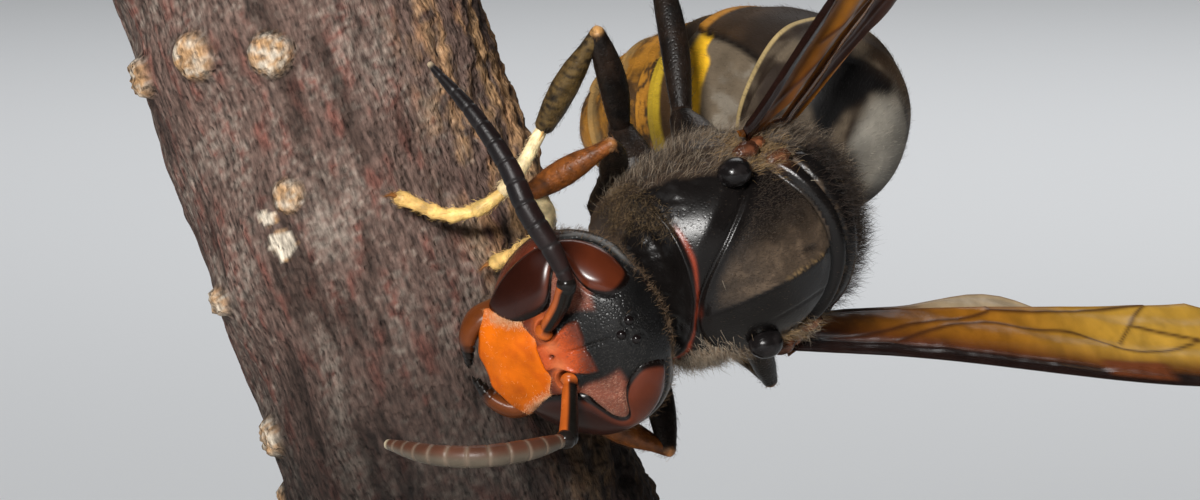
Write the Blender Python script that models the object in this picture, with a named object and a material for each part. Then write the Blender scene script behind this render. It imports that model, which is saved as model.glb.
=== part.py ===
"""Asian hornet worker at life size, gripping a short cut length of branch on a plain display stand.

Lengths are in millimetres and become metres when a mesh is made. Three frames carry the animal:
specimen (right, away, up as the front view sees it), thorax and head (right, forward, up of the body
part). The specimen frame leans by VIEW_RISE, so the front view looks slightly down on the hornet.
"""
import math

import bmesh
import bpy
import numpy as np
from mathutils import Matrix

MM = 0.001
GAP = 0.2                     # clear space between neighbouring pieces
VIEW_RISE = 6.0               # degrees that the front view looks down
SPECIMEN_ORIGIN = (0.6, -5.2, 26.0)   # world place of the specimen frame

# Body places in the specimen frame, and turns as roll, pitch, turn in degrees
THORAX_CENTRE = (2.85, 0.0, 0.11)
THORAX_TURN = (20.0, 30.0, 21.7)
HEAD_CENTRE = (-0.49, -2.85, -1.95)
HEAD_TURN = (15.0, -30.0, 15.0)

# Thorax sections from neck to waist: forward place, half width, top, bottom
THORAX_SECTIONS = (
    (2.95, 0.65, 0.25, -0.95),
    (2.78, 1.20, 0.80, -1.50),
    (2.42, 1.78, 1.30, -1.95),
    (2.00, 2.15, 1.74, -2.25),
    (1.20, 2.42, 2.30, -2.55),
    (0.30, 2.58, 2.68, -2.72),
    (-0.60, 2.55, 2.78, -2.75),
    (-1.50, 2.36, 2.60, -2.62),
    (-2.30, 2.12, 2.15, -2.40),
    (-3.00, 1.80, 1.35, -2.15),
    (-3.60, 1.35, 0.55, -1.85),
    (-4.00, 0.85, -0.35, -1.60),
)
SUTURE_RADIUS = 2.25          # plan radius of the front edge of the mesoscutum
SUTURE_CENTRE = -0.20
SUTURE_SIDE = 0.55            # where the collar ends beside the tegula
SUTURE_LEAN = 0.30            # how fast the collar's rear edge runs forward on its way down
SCUTELLUM_FRONT = -1.50
SCUTELLUM_REAR = -2.45
SCUTELLUM_FLOOR = 1.10
TEGULA_PLACE = (2.25, 0.42, 1.86)
TEGULA_RADIUS = 0.42

HEAD_HALF_WIDTH = 2.47
HEAD_TOP = 2.20
HEAD_BOTTOM = 2.15
HEAD_BACK = 1.02
HEAD_FRONT = 1.25
HEAD_BOXINESS = 0.80          # below 1 the face is flatter than an ellipsoid's
CHIN_NARROWING = 0.10
EYE_FACING = 62.0             # degrees that an eye looks away from straight ahead
EYE_MIDDLE = (0.55, 0.05)     # sideways and up, in the plane that an eye faces
EYE_HALF = (0.98, 1.66)
EYE_NOTCH = (0.66, 0.40, 0.42)   # height, depth and half length of the notch by the antenna
EYE_FLOOR = 0.75
EYE_PROUD = 0.13
CLYPEUS_OUTLINE = ((0.50, -0.42), (0.92, -0.75), (1.08, -1.20), (0.98, -1.65), (0.62, -1.98), (0.25, -1.90))
CLYPEUS_FLOOR = 0.60
CLYPEUS_PROUD = 0.08
OCELLI = ((0.0, 1.42), (0.24, 1.68), (-0.24, 1.68))
OCELLUS_RADIUS = 0.17
MANDIBLE_PATH = ((1.30, 0.40, -1.60), (1.22, 0.68, -2.06), (0.86, 0.82, -2.44), (0.32, 0.84, -2.68))
MANDIBLE_RADII = (0.46, 0.47, 0.38, 0.17)

# Antennae in the specimen frame: scape from its socket to its end, then the flagellum
SCAPE_RADII = (0.25, 0.25, 0.27)
FLAGELLUM_RADII = (0.22, 0.25, 0.26, 0.26, 0.25, 0.20)
FLAGELLOMERES = 11
ANTENNAE = {
    "right": {
        "scape": ((-1.28, -4.05, -1.88), (-0.92, -4.78, -1.28), (-0.77, -5.30, -0.86)),
        "flagellum": ((-0.75, -5.36, -0.70), (-1.10, -5.50, 0.02), (-1.66, -5.50, 0.92),
                      (-2.12, -5.36, 1.95), (-2.90, -5.05, 3.12), (-3.90, -4.60, 4.26)),
    },
    "left": {
        "scape": ((-0.70, -3.80, -3.00), (-0.70, -4.30, -3.75), (-0.73, -4.72, -4.32)),
        "flagellum": ((-0.85, -4.82, -4.36), (-1.75, -5.70, -4.58), (-2.80, -6.05, -4.70),
                      (-3.85, -5.65, -4.66), (-4.85, -4.50, -4.46)),
    },
}

# Gaster: rear rim of each segment in the specimen frame, with its radius
WAIST = (5.50, 3.25, 1.85)
SEGMENT_RIMS = (
    ((5.22, 5.55, 3.30), 2.40),
    ((3.72, 7.20, 3.42), 2.52),
    ((2.80, 8.85, 3.26), 2.38),
    ((1.75, 10.00, 3.25), 2.05),
    ((0.65, 10.95, 3.02), 1.48),
    ((-0.45, 11.55, 2.75), 0.40),
)
FIRST_SEGMENT = ((0.0, 0.20), (0.14, 0.30), (0.30, 0.62), (0.50, 0.88), (0.75, 0.99), (1.0, 1.0))
NEXT_SEGMENT = ((0.0, 0.90), (0.25, 0.97), (0.60, 1.02), (1.0, 1.0))   # share of the way, share of the radius
GASTER_HEIGHT = 0.95          # height over width
GASTER_BACK = (0.80, 0.50, 0.32)   # where its back faces, in the specimen frame

WING_THICKNESS = 0.50
VEIN_RISE = 0.10
# Wings in the thorax frame: root, heading and twist about the heading in degrees. A wing's bow moves it
# forward: by the first length everywhere, and by the second more between the two distances from the root.
WINGS = {
    "right": ((2.79, -0.50, 1.16), (0.424, -0.882, -0.209), -28.0),
    "left": ((-2.66, -0.62, 1.28), (-0.385, -0.905, -0.18), -50.0),
}
FOREWING = {
    "length": 19.2, "start": 0.0, "below": 0.0, "rows": 22, "stigma": (0.585, 0.665),
    "widths": ((0.0, 0.50), (0.05, 0.90), (0.10, 1.25), (0.26, 1.60), (0.42, 2.00), (0.57, 2.35), (0.70, 2.60),
               (0.83, 2.75), (0.91, 2.30), (1.0, 0.50)),
    "veins": (0.06, 0.26, 0.52, 0.78), "edge_in": {"left": 0.0, "right": 0.0},
    "bow": {"left": (0.0, 0.50, 3.0, 14.0), "right": (0.22, 0.30, 0.0, 4.0)},
}
HINDWING = {
    "length": 12.6, "start": 1.2, "below": 0.82, "rows": 15, "stigma": (2.0, 2.0),
    "widths": ((0.0, 0.50), (0.143, 0.75), (0.30, 0.90), (0.46, 1.30), (0.54, 1.38), (0.643, 1.00), (0.86, 0.80),
               (1.0, 0.30)),
    "veins": (0.08, 0.45, 0.80), "edge_in": {"left": 0.85, "right": 1.45},
    "bow": {"left": (0.0, 0.0, 0.0, 1.0), "right": (0.0, 0.0, 0.0, 1.0)},
}
TIP_SWEEP = 0.9               # how far the front edge curves in at the tip
TIP_THINNING = 0.45

# Legs: coxa root in the thorax frame, then joints and tarsus in the specimen frame
LEGS = {
    ("front", "right"): {
        "root": (1.00, 1.60, -1.90),
        "joints": ((0.25, 0.60, 1.60), (0.23, -2.20, 2.44), (-1.52, -1.60, 1.40)),
        "tarsus": ((-1.20, -0.90, 0.86), (-1.42, 0.40, 0.35), (-1.90, 1.75, 0.0), (-2.50, 2.45, -0.30)),
    },
    ("middle", "right"): {
        "root": (1.30, 0.30, -2.55),
        "joints": ((0.52, 2.00, 2.78), (-0.07, 0.20, 5.11), (-1.31, 1.70, 2.97)),
        "tarsus": ((-2.26, 1.60, 1.42), (-3.45, 1.75, 0.83), (-4.76, 1.75, 1.24)),
    },
    ("hind", "right"): {
        "root": (1.35, -1.60, -2.45),
        "joints": ((1.99, 3.20, 3.11), (1.40, 4.70, 6.90), (-2.00, 5.40, 8.20)),
        "tarsus": ((-3.20, 4.55, 8.85), (-4.60, 3.50, 9.40), (-5.90, 2.35, 9.90)),
    },
    ("front", "left"): {
        "root": (-1.20, 1.60, -1.80),
        "joints": ((0.99, 1.45, -2.16), (1.61, 0.20, -4.70), (-0.24, 0.90, -3.88)),
        "tarsus": ((-0.35, 1.60, -3.70), (-0.75, 2.25, -3.60), (-1.40, 2.10, -3.55), (-2.00, 1.80, -3.50)),
    },
    ("middle", "left"): {
        "root": (-1.30, 0.30, -2.55),
        "joints": ((1.50, 2.70, -1.50), (2.50, 5.00, -2.50), (0.30, 5.90, -2.30)),
        "tarsus": ((0.45, 7.00, -2.10), (0.25, 8.30, -1.90), (-0.60, 9.75, -1.70)),
    },
    ("hind", "left"): {
        "root": (-1.35, -1.60, -2.45),
        "joints": ((3.20, 3.90, -0.95), (4.14, 6.40, -3.17), (2.20, 8.50, -1.20)),
        "tarsus": ((1.90, 9.60, -1.60), (1.20, 10.80, -2.20), (0.30, 11.70, -2.80)),
    },
}
COXA_RADII = (0.62, 0.58, 0.42)
FEMUR_RADII = (0.30, 0.37, 0.35, 0.28)
TIBIA_RADII = (0.25, 0.27, 0.32, 0.32, 0.27)
TARSUS_RADII = (0.26, 0.25, 0.25, 0.25)
TARSOMERES = 5
TARSUS_WAIST = 0.12
CLAW_LENGTH = 0.50
CLAW_SPREAD = 0.22
CLAW_RADIUS = 0.12

# Branch: its axis crosses the specimen frame here and leans so that its top is to the left
BRANCH_MIDDLE = (-5.30, 6.50, 0.0)
BRANCH_LEAN = 0.35
BRANCH_RADIUS = 4.20
BRANCH_UP = 13.5
BRANCH_DOWN = 18.0
BRANCH_CUT = 12.2             # world height of its level lower end
BRANCH_KNOTS = (   # height along the branch, way round it in degrees, rise
    (5.84, 232.0, 0.38), (5.24, 258.0, 0.36), (1.94, 248.0, 0.25), (5.85, 202.0, 0.32), (-9.0, 330.0, 0.5),
)

BASE_SIZE = (50.0, 38.0, 3.2)
BASE_BEVEL = 0.6
ROD_RADIUS = 1.6


def clear_scene():
    for item in list(bpy.data.objects):
        bpy.data.objects.remove(item, do_unlink=True)


def make_material(name, colour, roughness, metallic=0.0):
    material = bpy.data.materials.new(name)
    material.use_nodes = True
    shader = material.node_tree.nodes["Principled BSDF"]
    shader.inputs["Base Color"].default_value = (*colour, 1.0)
    shader.inputs["Roughness"].default_value = roughness
    shader.inputs["Metallic"].default_value = metallic
    return material


def unit(vector):
    return np.asarray(vector, float) / np.linalg.norm(vector)


def axes_as_seen(roll, pitch, turn):
    """Columns right, forward, up of a body whose back faces the viewer with its nose to the left.

    roll shows more of its right side, pitch brings the nose nearer and turn points the nose down."""
    r, p, t = (math.radians(angle) for angle in (roll, pitch, turn))
    start = np.array([[0, -math.sin(r), math.cos(r)], [-1, 0, 0], [0, -math.cos(r), -math.sin(r)]]).T
    about_up = np.array([[math.cos(p), -math.sin(p), 0], [math.sin(p), math.cos(p), 0], [0, 0, 1]])
    about_away = np.array([[math.cos(t), 0, -math.sin(t)], [0, 1, 0], [math.sin(t), 0, math.cos(t)]])
    return about_away @ about_up @ start


def head_axes():
    """The head's face plays the back and its chin the nose: columns right, face normal, crown."""
    right, chin, face = axes_as_seen(*HEAD_TURN).T
    return np.array([right, face, -chin]).T


def thorax_to_specimen(point):
    return np.asarray(THORAX_CENTRE) + axes_as_seen(*THORAX_TURN) @ np.asarray(point)


def make_frame(name, axes, place, parent=None):
    """An empty that carries the pieces modelled in its axes."""
    frame = bpy.data.objects.new(name, None)
    bpy.context.scene.collection.objects.link(frame)
    matrix = np.eye(4)
    matrix[:3, :3] = axes
    matrix[:3, 3] = np.asarray(place) * MM
    frame.parent = parent
    frame.matrix_basis = Matrix(matrix.tolist())
    return frame


def make_piece(name, shape, frame, material=None):
    """A mesh object from vertices in millimetres and faces, carried by a frame."""
    vertices, faces = shape
    mesh = bpy.data.meshes.new(name)
    mesh.from_pydata((np.asarray(vertices) * MM).tolist(), [], faces)
    solid = bmesh.new()
    solid.from_mesh(mesh)
    bmesh.ops.recalc_face_normals(solid, faces=solid.faces)
    solid.to_mesh(mesh)
    solid.free()
    piece = bpy.data.objects.new(name, mesh)
    bpy.context.scene.collection.objects.link(piece)
    piece.parent = frame
    if material:
        mesh.materials.append(material)
    else:
        piece.hide_render = True
        piece.display_type = "WIRE"
    return piece


def apply_modifiers(piece):
    bpy.context.view_layer.update()
    shaped = piece.evaluated_get(bpy.context.evaluated_depsgraph_get())
    mesh = bpy.data.meshes.new_from_object(shaped)
    piece.modifiers.clear()
    piece.data = mesh


def combine(piece, tool, operation):
    """Boolean with one other object, which is used up."""
    step = piece.modifiers.new("combine", "BOOLEAN")
    step.operation = operation
    step.object = tool
    apply_modifiers(piece)
    bpy.data.objects.remove(tool, do_unlink=True)


def fuse(piece, additions):
    """One union of a piece with all the closed meshes that grow from it."""
    group = bpy.data.collections.new("additions")
    bpy.context.scene.collection.children.link(group)
    for item in additions:
        bpy.context.scene.collection.objects.unlink(item)
        group.objects.link(item)
    step = piece.modifiers.new("fuse", "BOOLEAN")
    step.operation = "UNION"
    step.operand_type = "COLLECTION"
    step.collection = group
    apply_modifiers(piece)
    for item in additions:
        bpy.data.objects.remove(item, do_unlink=True)
    bpy.data.collections.remove(group)


def keep_largest(piece):
    """Leaves only the closed surface with the largest box."""
    solid = bmesh.new()
    solid.from_mesh(piece.data)
    waiting = set(solid.verts)
    groups = []
    while waiting:
        reached = {waiting.pop()}
        front = list(reached)
        while front:
            near = {edge.other_vert(front[-1]) for edge in front[-1].link_edges}
            front.pop()
            fresh = near - reached
            reached |= fresh
            front.extend(fresh)
        waiting -= reached
        places = np.array([vertex.co for vertex in reached])
        groups.append((float(np.prod(np.ptp(places, axis=0) + MM)), reached))
    if not groups:
        raise ValueError(f"{piece.name} was cut away whole")
    largest = max(groups, key=lambda group: group[0])[1]
    bmesh.ops.delete(solid, geom=[vertex for vertex in solid.verts if vertex not in largest], context="VERTS")
    solid.to_mesh(piece.data)
    solid.free()


def finish(piece, sharp=40.0):
    keep_largest(piece)
    piece.data.shade_smooth()
    piece.data.set_sharp_from_angle(angle=math.radians(sharp))
    return piece


def curve(points, count):
    """Points at even steps of a Catmull-Rom curve through the given ones."""
    points = np.asarray(points, float)
    padded = np.vstack([2 * points[0] - points[1], points, 2 * points[-1] - points[-2]])
    steps = np.linspace(0, len(points) - 1, count)
    spans = np.minimum(steps.astype(int), len(points) - 2)
    t = (steps - spans)[:, None]
    a, b, c, d = (padded[spans + k] for k in range(4))
    return 0.5 * (2 * b + (c - a) * t + (2 * a - 5 * b + 4 * c - d) * t ** 2 + (3 * b - a - 3 * c + d) * t ** 3)


def ring_shape(rings, poles=None):
    """Closed body from rings of equal length, each end closed by a fan to its pole."""
    rings = np.asarray(rings)
    count, sides = rings.shape[:2]
    ends = np.array(poles if poles is not None else (rings[0].mean(axis=0), rings[-1].mean(axis=0)))
    vertices = np.vstack([rings.reshape(-1, 3), ends])
    faces = []
    for i in range(count - 1):
        for j in range(sides):
            k = (j + 1) % sides
            faces.append((i * sides + j, i * sides + k, (i + 1) * sides + k, (i + 1) * sides + j))
    first, last = count * sides, count * sides + 1
    for j in range(sides):
        k = (j + 1) % sides
        faces.append((first, k, j))
        faces.append((last, (count - 1) * sides + j, (count - 1) * sides + k))
    return vertices, faces


def cross_axes(path):
    """Two axes square to a path at each point, carried along without twist."""
    tangents = np.gradient(path, axis=0)
    tangents /= np.linalg.norm(tangents, axis=1)[:, None]
    start = np.eye(3)[np.argmin(np.abs(tangents[0]))]
    sides = []
    for tangent in tangents:
        start = unit(start - tangent * (start @ tangent))
        sides.append(start)
    sides = np.array(sides)
    return tangents, sides, np.cross(tangents, sides)


def rod(points, radii, sides=8, steps=6, grow=0.0, dome=0.6, waists=0):
    """Round rod along a curve, with domed ends and, if asked, waists between its joints."""
    path = curve(points, steps)
    sizes = np.interp(np.linspace(0, 1, steps), np.linspace(0, 1, len(radii)), radii)
    if waists:
        phase = np.linspace(0, waists, steps) % 1.0
        sizes = sizes * (1 - TARSUS_WAIST * (np.minimum(phase, 1 - phase) < 0.2))
    sizes = sizes + grow
    tangents, across, up = cross_axes(path)
    angles = np.linspace(0, 2 * math.pi, sides, endpoint=False)
    circle = np.cos(angles)[None, :, None] * across[:, None] + np.sin(angles)[None, :, None] * up[:, None]
    rings = path[:, None] + circle * sizes[:, None, None]
    slope = math.radians(50)
    start = path[0] - tangents[0] * sizes[0] * dome * math.sin(slope) + circle[0] * sizes[0] * math.cos(slope)
    end = path[-1] + tangents[-1] * sizes[-1] * dome * math.sin(slope) + circle[-1] * sizes[-1] * math.cos(slope)
    poles = (path[0] - tangents[0] * sizes[0] * dome, path[-1] + tangents[-1] * sizes[-1] * dome)
    return ring_shape(np.concatenate([[start], rings, [end]]), poles)


def ball(centre, radius, sides=10, rows=6):
    """Round ball about a centre."""
    heights = np.linspace(0, math.pi, rows + 1)[1:-1]
    angles = np.linspace(0, 2 * math.pi, sides, endpoint=False)
    rings = np.stack([np.sin(heights)[:, None] * np.cos(angles), np.sin(heights)[:, None] * np.sin(angles),
                      -np.cos(heights)[:, None] * np.ones(sides)], axis=-1) * radius + np.asarray(centre)
    low, high = np.asarray(centre) - (0, 0, radius), np.asarray(centre) + (0, 0, radius)
    return ring_shape(rings, (low, high))


def block(low, high):
    """Box between two corners."""
    low, high = np.asarray(low, float), np.asarray(high, float)
    picks = np.array([[0, 0, 0], [1, 0, 0], [1, 1, 0], [0, 1, 0], [0, 0, 1], [1, 0, 1], [1, 1, 1], [0, 1, 1]])
    faces = [(3, 2, 1, 0), (4, 5, 6, 7), (0, 1, 5, 4), (1, 2, 6, 5), (2, 3, 7, 6), (3, 0, 4, 7)]
    return np.where(picks == 1, high, low), faces


def prism(outline, axes, floor, top, shift=(0.0, 0.0)):
    """Straight prism over an outline: axes are side, up and out; shift moves the top outline."""
    side, up, out = (np.asarray(axis, float) for axis in axes)
    outline = np.asarray(outline, float)
    moved = outline + np.asarray(shift)
    low = outline[:, :1] * side + outline[:, 1:] * up + floor * out
    high = moved[:, :1] * side + moved[:, 1:] * up + top * out
    count = len(outline)
    faces = [tuple(range(count))[::-1], tuple(range(count, 2 * count))]
    faces += [(j, (j + 1) % count, count + (j + 1) % count, count + j) for j in range(count)]
    return np.vstack([low, high]), faces


def thorax_shape(grow=0.0, steps=24, sides=28):
    """The whole thorax as one lofted body, made larger by grow."""
    sections = curve(THORAX_SECTIONS, steps)
    place, half, top, bottom = sections.T
    middle, height = (top + bottom) / 2, (top - bottom) / 2 + grow
    angles = np.linspace(0, 2 * math.pi, sides, endpoint=False)
    place = place + grow * np.linspace(1, -1, steps)
    rings = np.stack([(half + grow)[:, None] * np.cos(angles), place[:, None] * np.ones(sides),
                      middle[:, None] + height[:, None] * np.sin(angles)], axis=-1)
    return ring_shape(rings)


def collar_region(grow=0.0):
    """Everything ahead of the arched front edge of the mesoscutum."""
    radius, side = SUTURE_RADIUS - grow, SUTURE_SIDE - grow
    reach = math.acos((side - SUTURE_CENTRE) / radius)
    angles = np.linspace(reach, -reach, 15)
    arc = np.stack([-radius * np.sin(angles), SUTURE_CENTRE + radius * np.cos(angles)], axis=-1)
    outline = [(-6, side), *arc, (6, side), (6, 7), (-6, 7)]
    drop, rise = -6.0, 6.0
    outline = np.asarray(outline, float) + (0, -SUTURE_LEAN * (drop - TEGULA_PLACE[2]))
    return prism(outline, np.eye(3), drop, rise, (0, -SUTURE_LEAN * (rise - drop)))


def build_thorax(frame, chitin):
    collar = make_piece("pronotum", thorax_shape(), frame, chitin)
    combine(collar, make_piece("ahead", collar_region(), frame), "INTERSECT")
    middle = make_piece("mesothorax", thorax_shape(), frame, chitin)
    combine(middle, make_piece("ahead", collar_region(GAP), frame), "DIFFERENCE")
    combine(middle, make_piece("behind", block((-6, -9, -6), (6, SCUTELLUM_FRONT, 6)), frame), "DIFFERENCE")
    hump = make_piece("scutellum", thorax_shape(), frame, chitin)
    hump_box = block((-6, SCUTELLUM_REAR, SCUTELLUM_FLOOR), (6, SCUTELLUM_FRONT - GAP, 6))
    combine(hump, make_piece("hump", hump_box, frame), "INTERSECT")
    rear = make_piece("propodeum", thorax_shape(), frame, chitin)
    combine(rear, make_piece("ahead", block((-6, SCUTELLUM_FRONT - GAP, -6), (6, 9, 6)), frame), "DIFFERENCE")
    around = block((-6, SCUTELLUM_REAR - GAP, SCUTELLUM_FLOOR - GAP), (6, SCUTELLUM_FRONT + GAP, 6))
    combine(rear, make_piece("hump", around, frame), "DIFFERENCE")
    for sign, side in ((1, "right"), (-1, "left")):
        place = np.array(TEGULA_PLACE) * (sign, 1, 1)
        for piece in (collar, middle):
            combine(piece, make_piece("socket", ball(place, TEGULA_RADIUS + GAP), frame), "DIFFERENCE")
        finish(make_piece(f"tegula_{side}", ball(place, TEGULA_RADIUS), frame, chitin))
    for piece in (collar, middle, hump, rear):
        finish(piece)


def head_shape(grow=0.0, rows=17, sides=36):
    """The head without its parts: an outline narrowed to the chin, carried from back to face."""
    angles = np.linspace(0, 2 * math.pi, sides, endpoint=False)
    down = np.maximum(-np.sin(angles), 0)
    wide = (HEAD_HALF_WIDTH + grow) * np.cos(angles) * (1 - CHIN_NARROWING * down)
    tall = np.where(np.sin(angles) > 0, HEAD_TOP + grow, HEAD_BOTTOM + grow) * np.sin(angles)
    slopes = np.linspace(0, math.pi, rows)[1:-1]
    share = np.sin(slopes) ** HEAD_BOXINESS
    depth = np.where(np.cos(slopes) > 0, HEAD_BACK + grow, HEAD_FRONT + grow) * -np.cos(slopes)
    rings = np.stack([share[:, None] * wide, depth[:, None] * np.ones(sides), share[:, None] * tall], axis=-1)
    return ring_shape(rings, ((0, -HEAD_BACK - grow, 0), (0, HEAD_FRONT + grow, 0)))


def face_point(across, up):
    """Point of the face above a place given across and up."""
    height = HEAD_TOP if up > 0 else HEAD_BOTTOM
    share = math.hypot(across / HEAD_HALF_WIDTH, up / height) ** (1 / HEAD_BOXINESS)
    return across, HEAD_FRONT * math.sqrt(1 - share ** 2), up


def eye_outline(grow=0.0, sides=30):
    """Kidney outline of an eye, notched on its inner edge."""
    angles = np.linspace(0, 2 * math.pi, sides, endpoint=False)
    across = EYE_MIDDLE[0] + (EYE_HALF[0] + grow) * np.cos(angles)
    up = EYE_MIDDLE[1] + (EYE_HALF[1] + grow) * np.sin(angles)
    height, depth, length = EYE_NOTCH
    across += depth * np.exp(-((up - height) / length) ** 2) * np.maximum(-np.cos(angles), 0)
    return np.stack([across, up], axis=-1)


def eye_region(sign, floor, grow=0.0):
    facing = math.radians(EYE_FACING)
    out = (sign * math.sin(facing), math.cos(facing), 0)
    side = (sign * math.cos(facing), -math.sin(facing), 0)
    return prism(eye_outline(grow), (side, (0, 0, 1), out), floor, 4.0)


def clypeus_region(floor, grow=0.0):
    right = np.array(CLYPEUS_OUTLINE)
    outline = np.vstack([right, right[::-1] * (-1, 1)])
    middle = outline.mean(axis=0)
    away = outline - middle
    outline = outline + grow * away / np.linalg.norm(away, axis=1)[:, None]
    return prism(outline, ((1, 0, 0), (0, 0, 1), (0, 1, 0)), floor, 3.0)


def build_head(frame, chitin, orange, eye):
    head = make_piece("head", head_shape(), frame, chitin)
    ocelli = [make_piece("ocellus", ball(face_point(*place), OCELLUS_RADIUS, 8, 6), frame) for place in OCELLI]
    fuse(head, ocelli)
    shield = make_piece("clypeus", head_shape(CLYPEUS_PROUD), frame, orange)
    combine(shield, make_piece("shield", clypeus_region(CLYPEUS_FLOOR), frame), "INTERSECT")
    for sign, side in ((1, "right"), (-1, "left")):
        lens = make_piece(f"eye_{side}", head_shape(EYE_PROUD), frame, eye)
        combine(lens, make_piece("eye", eye_region(sign, EYE_FLOOR), frame), "INTERSECT")
        finish(lens)
        for piece in (head, shield):
            combine(piece, make_piece("socket", eye_region(sign, EYE_FLOOR - GAP, GAP), frame), "DIFFERENCE")
        jaw = make_piece(f"mandible_{side}",
                         rod(np.array(MANDIBLE_PATH) * (sign, 1, 1), MANDIBLE_RADII, 10, 7), frame, orange)
        combine(jaw, make_piece("head", head_shape(GAP), frame), "DIFFERENCE")
        combine(jaw, make_piece("clypeus", clypeus_region(-1.0, GAP), frame), "DIFFERENCE")
        finish(jaw)
    finish(shield)
    combine(head, make_piece("socket", clypeus_region(CLYPEUS_FLOOR - GAP, GAP), frame), "DIFFERENCE")
    finish(head)


def build_neck(specimen, thorax, head, chitin):
    front = thorax_to_specimen((0, 2.7, -0.3))
    back = np.array(HEAD_CENTRE) + head_axes() @ (0, -0.8, 0)
    neck = make_piece("neck", rod((front, (front + back) / 2, back), (0.55, 0.5, 0.55), 12, 4), specimen, chitin)
    combine(neck, make_piece("thorax", thorax_shape(GAP), thorax), "DIFFERENCE")
    combine(neck, make_piece("head", head_shape(GAP), head), "DIFFERENCE")
    finish(neck)


def build_antennae(specimen, head, chitin):
    for side, plan in ANTENNAE.items():
        scape = make_piece(f"antenna_{side}_scape", rod(plan["scape"], SCAPE_RADII, 8, 6), specimen, chitin)
        combine(scape, make_piece("head", head_shape(GAP + CLYPEUS_PROUD), head), "DIFFERENCE")
        finish(scape)
        whip = make_piece(f"antenna_{side}_flagellum",
                          rod(plan["flagellum"], FLAGELLUM_RADII, 8, 2 * FLAGELLOMERES + 1), specimen, chitin)
        combine(whip, make_piece("scape", rod(plan["scape"], SCAPE_RADII, 8, 6, GAP), specimen), "DIFFERENCE")
        finish(whip)


def segment_shape(centres, tangents, radii):
    """Barrel whose rings stand square to the gaster's axis, lower than wide."""
    tangents = tangents / np.linalg.norm(tangents, axis=1)[:, None]
    back = np.array(GASTER_BACK) - tangents * (tangents @ np.array(GASTER_BACK))[:, None]
    back /= np.linalg.norm(back, axis=1)[:, None]
    right = np.cross(tangents, back)
    angles = np.linspace(0, 2 * math.pi, 22, endpoint=False)
    circle = (np.cos(angles)[None, :, None] * right[:, None]
              + GASTER_HEIGHT * np.sin(angles)[None, :, None] * back[:, None])
    return ring_shape(centres[:, None] + circle * radii[:, None, None])


def gaster_shapes(grow=0.0):
    """One closed shape for each segment, made larger all round by grow."""
    ends = [WAIST] + [rim for rim, _ in SEGMENT_RIMS]
    steps = 60
    axis = curve(ends, steps * len(SEGMENT_RIMS) + 1)
    padded = np.pad(np.gradient(axis, axis=0), ((steps, steps), (0, 0)), mode="edge")
    headings = np.stack([np.convolve(column, np.ones(2 * steps + 1), "valid") for column in padded.T], axis=-1)
    length = np.concatenate([[0], np.cumsum(np.linalg.norm(np.diff(axis, axis=0), axis=1))])
    before = SEGMENT_RIMS[0][1]
    shapes = []
    for number, (_, radius) in enumerate(SEGMENT_RIMS, 1):
        start, end = length[(number - 1) * steps], length[number * steps]
        share, size = np.array(FIRST_SEGMENT if number == 1 else NEXT_SEGMENT).T
        spots = np.linspace(0, 1, 8)
        turns = start + spots * (end - start)
        places = turns + (GAP * (1 - spots) if number > 1 else 0)
        centres, tangents = (np.stack([np.interp(at, length, lines[:, k]) for k in range(3)], axis=-1)
                             for at, lines in ((places, axis), (turns, headings)))
        full = before + (radius - before) * spots ** 1.5
        radii = np.interp(spots, share, size) * full + grow
        shapes.append(segment_shape(centres, tangents, radii))
        before = radius
    return shapes


def build_gaster(specimen, thorax, chitin, banded):
    for number, shape in enumerate(gaster_shapes(), 1):
        segment = make_piece(f"abdomen_{number}", shape, specimen, chitin if number < 4 else banded)
        if number == 1:
            combine(segment, make_piece("thorax", thorax_shape(GAP), thorax), "DIFFERENCE")
        finish(segment)


def wing_axes(side):
    """Heading, way to the trailing edge and upper normal of a wing in the thorax frame."""
    sign = 1 if side == "right" else -1
    _, heading, twist = WINGS[side]
    heading = unit(heading)
    level = unit((sign * heading[1], -sign * heading[0], 0))
    steep = np.cross(heading, level)
    steep *= math.copysign(1, steep[2])
    twist = math.radians(twist)
    across = math.cos(twist) * level + math.sin(twist) * steep
    normal = np.cross(heading, across)
    return heading, across, normal * math.copysign(1, normal @ steep)


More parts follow.
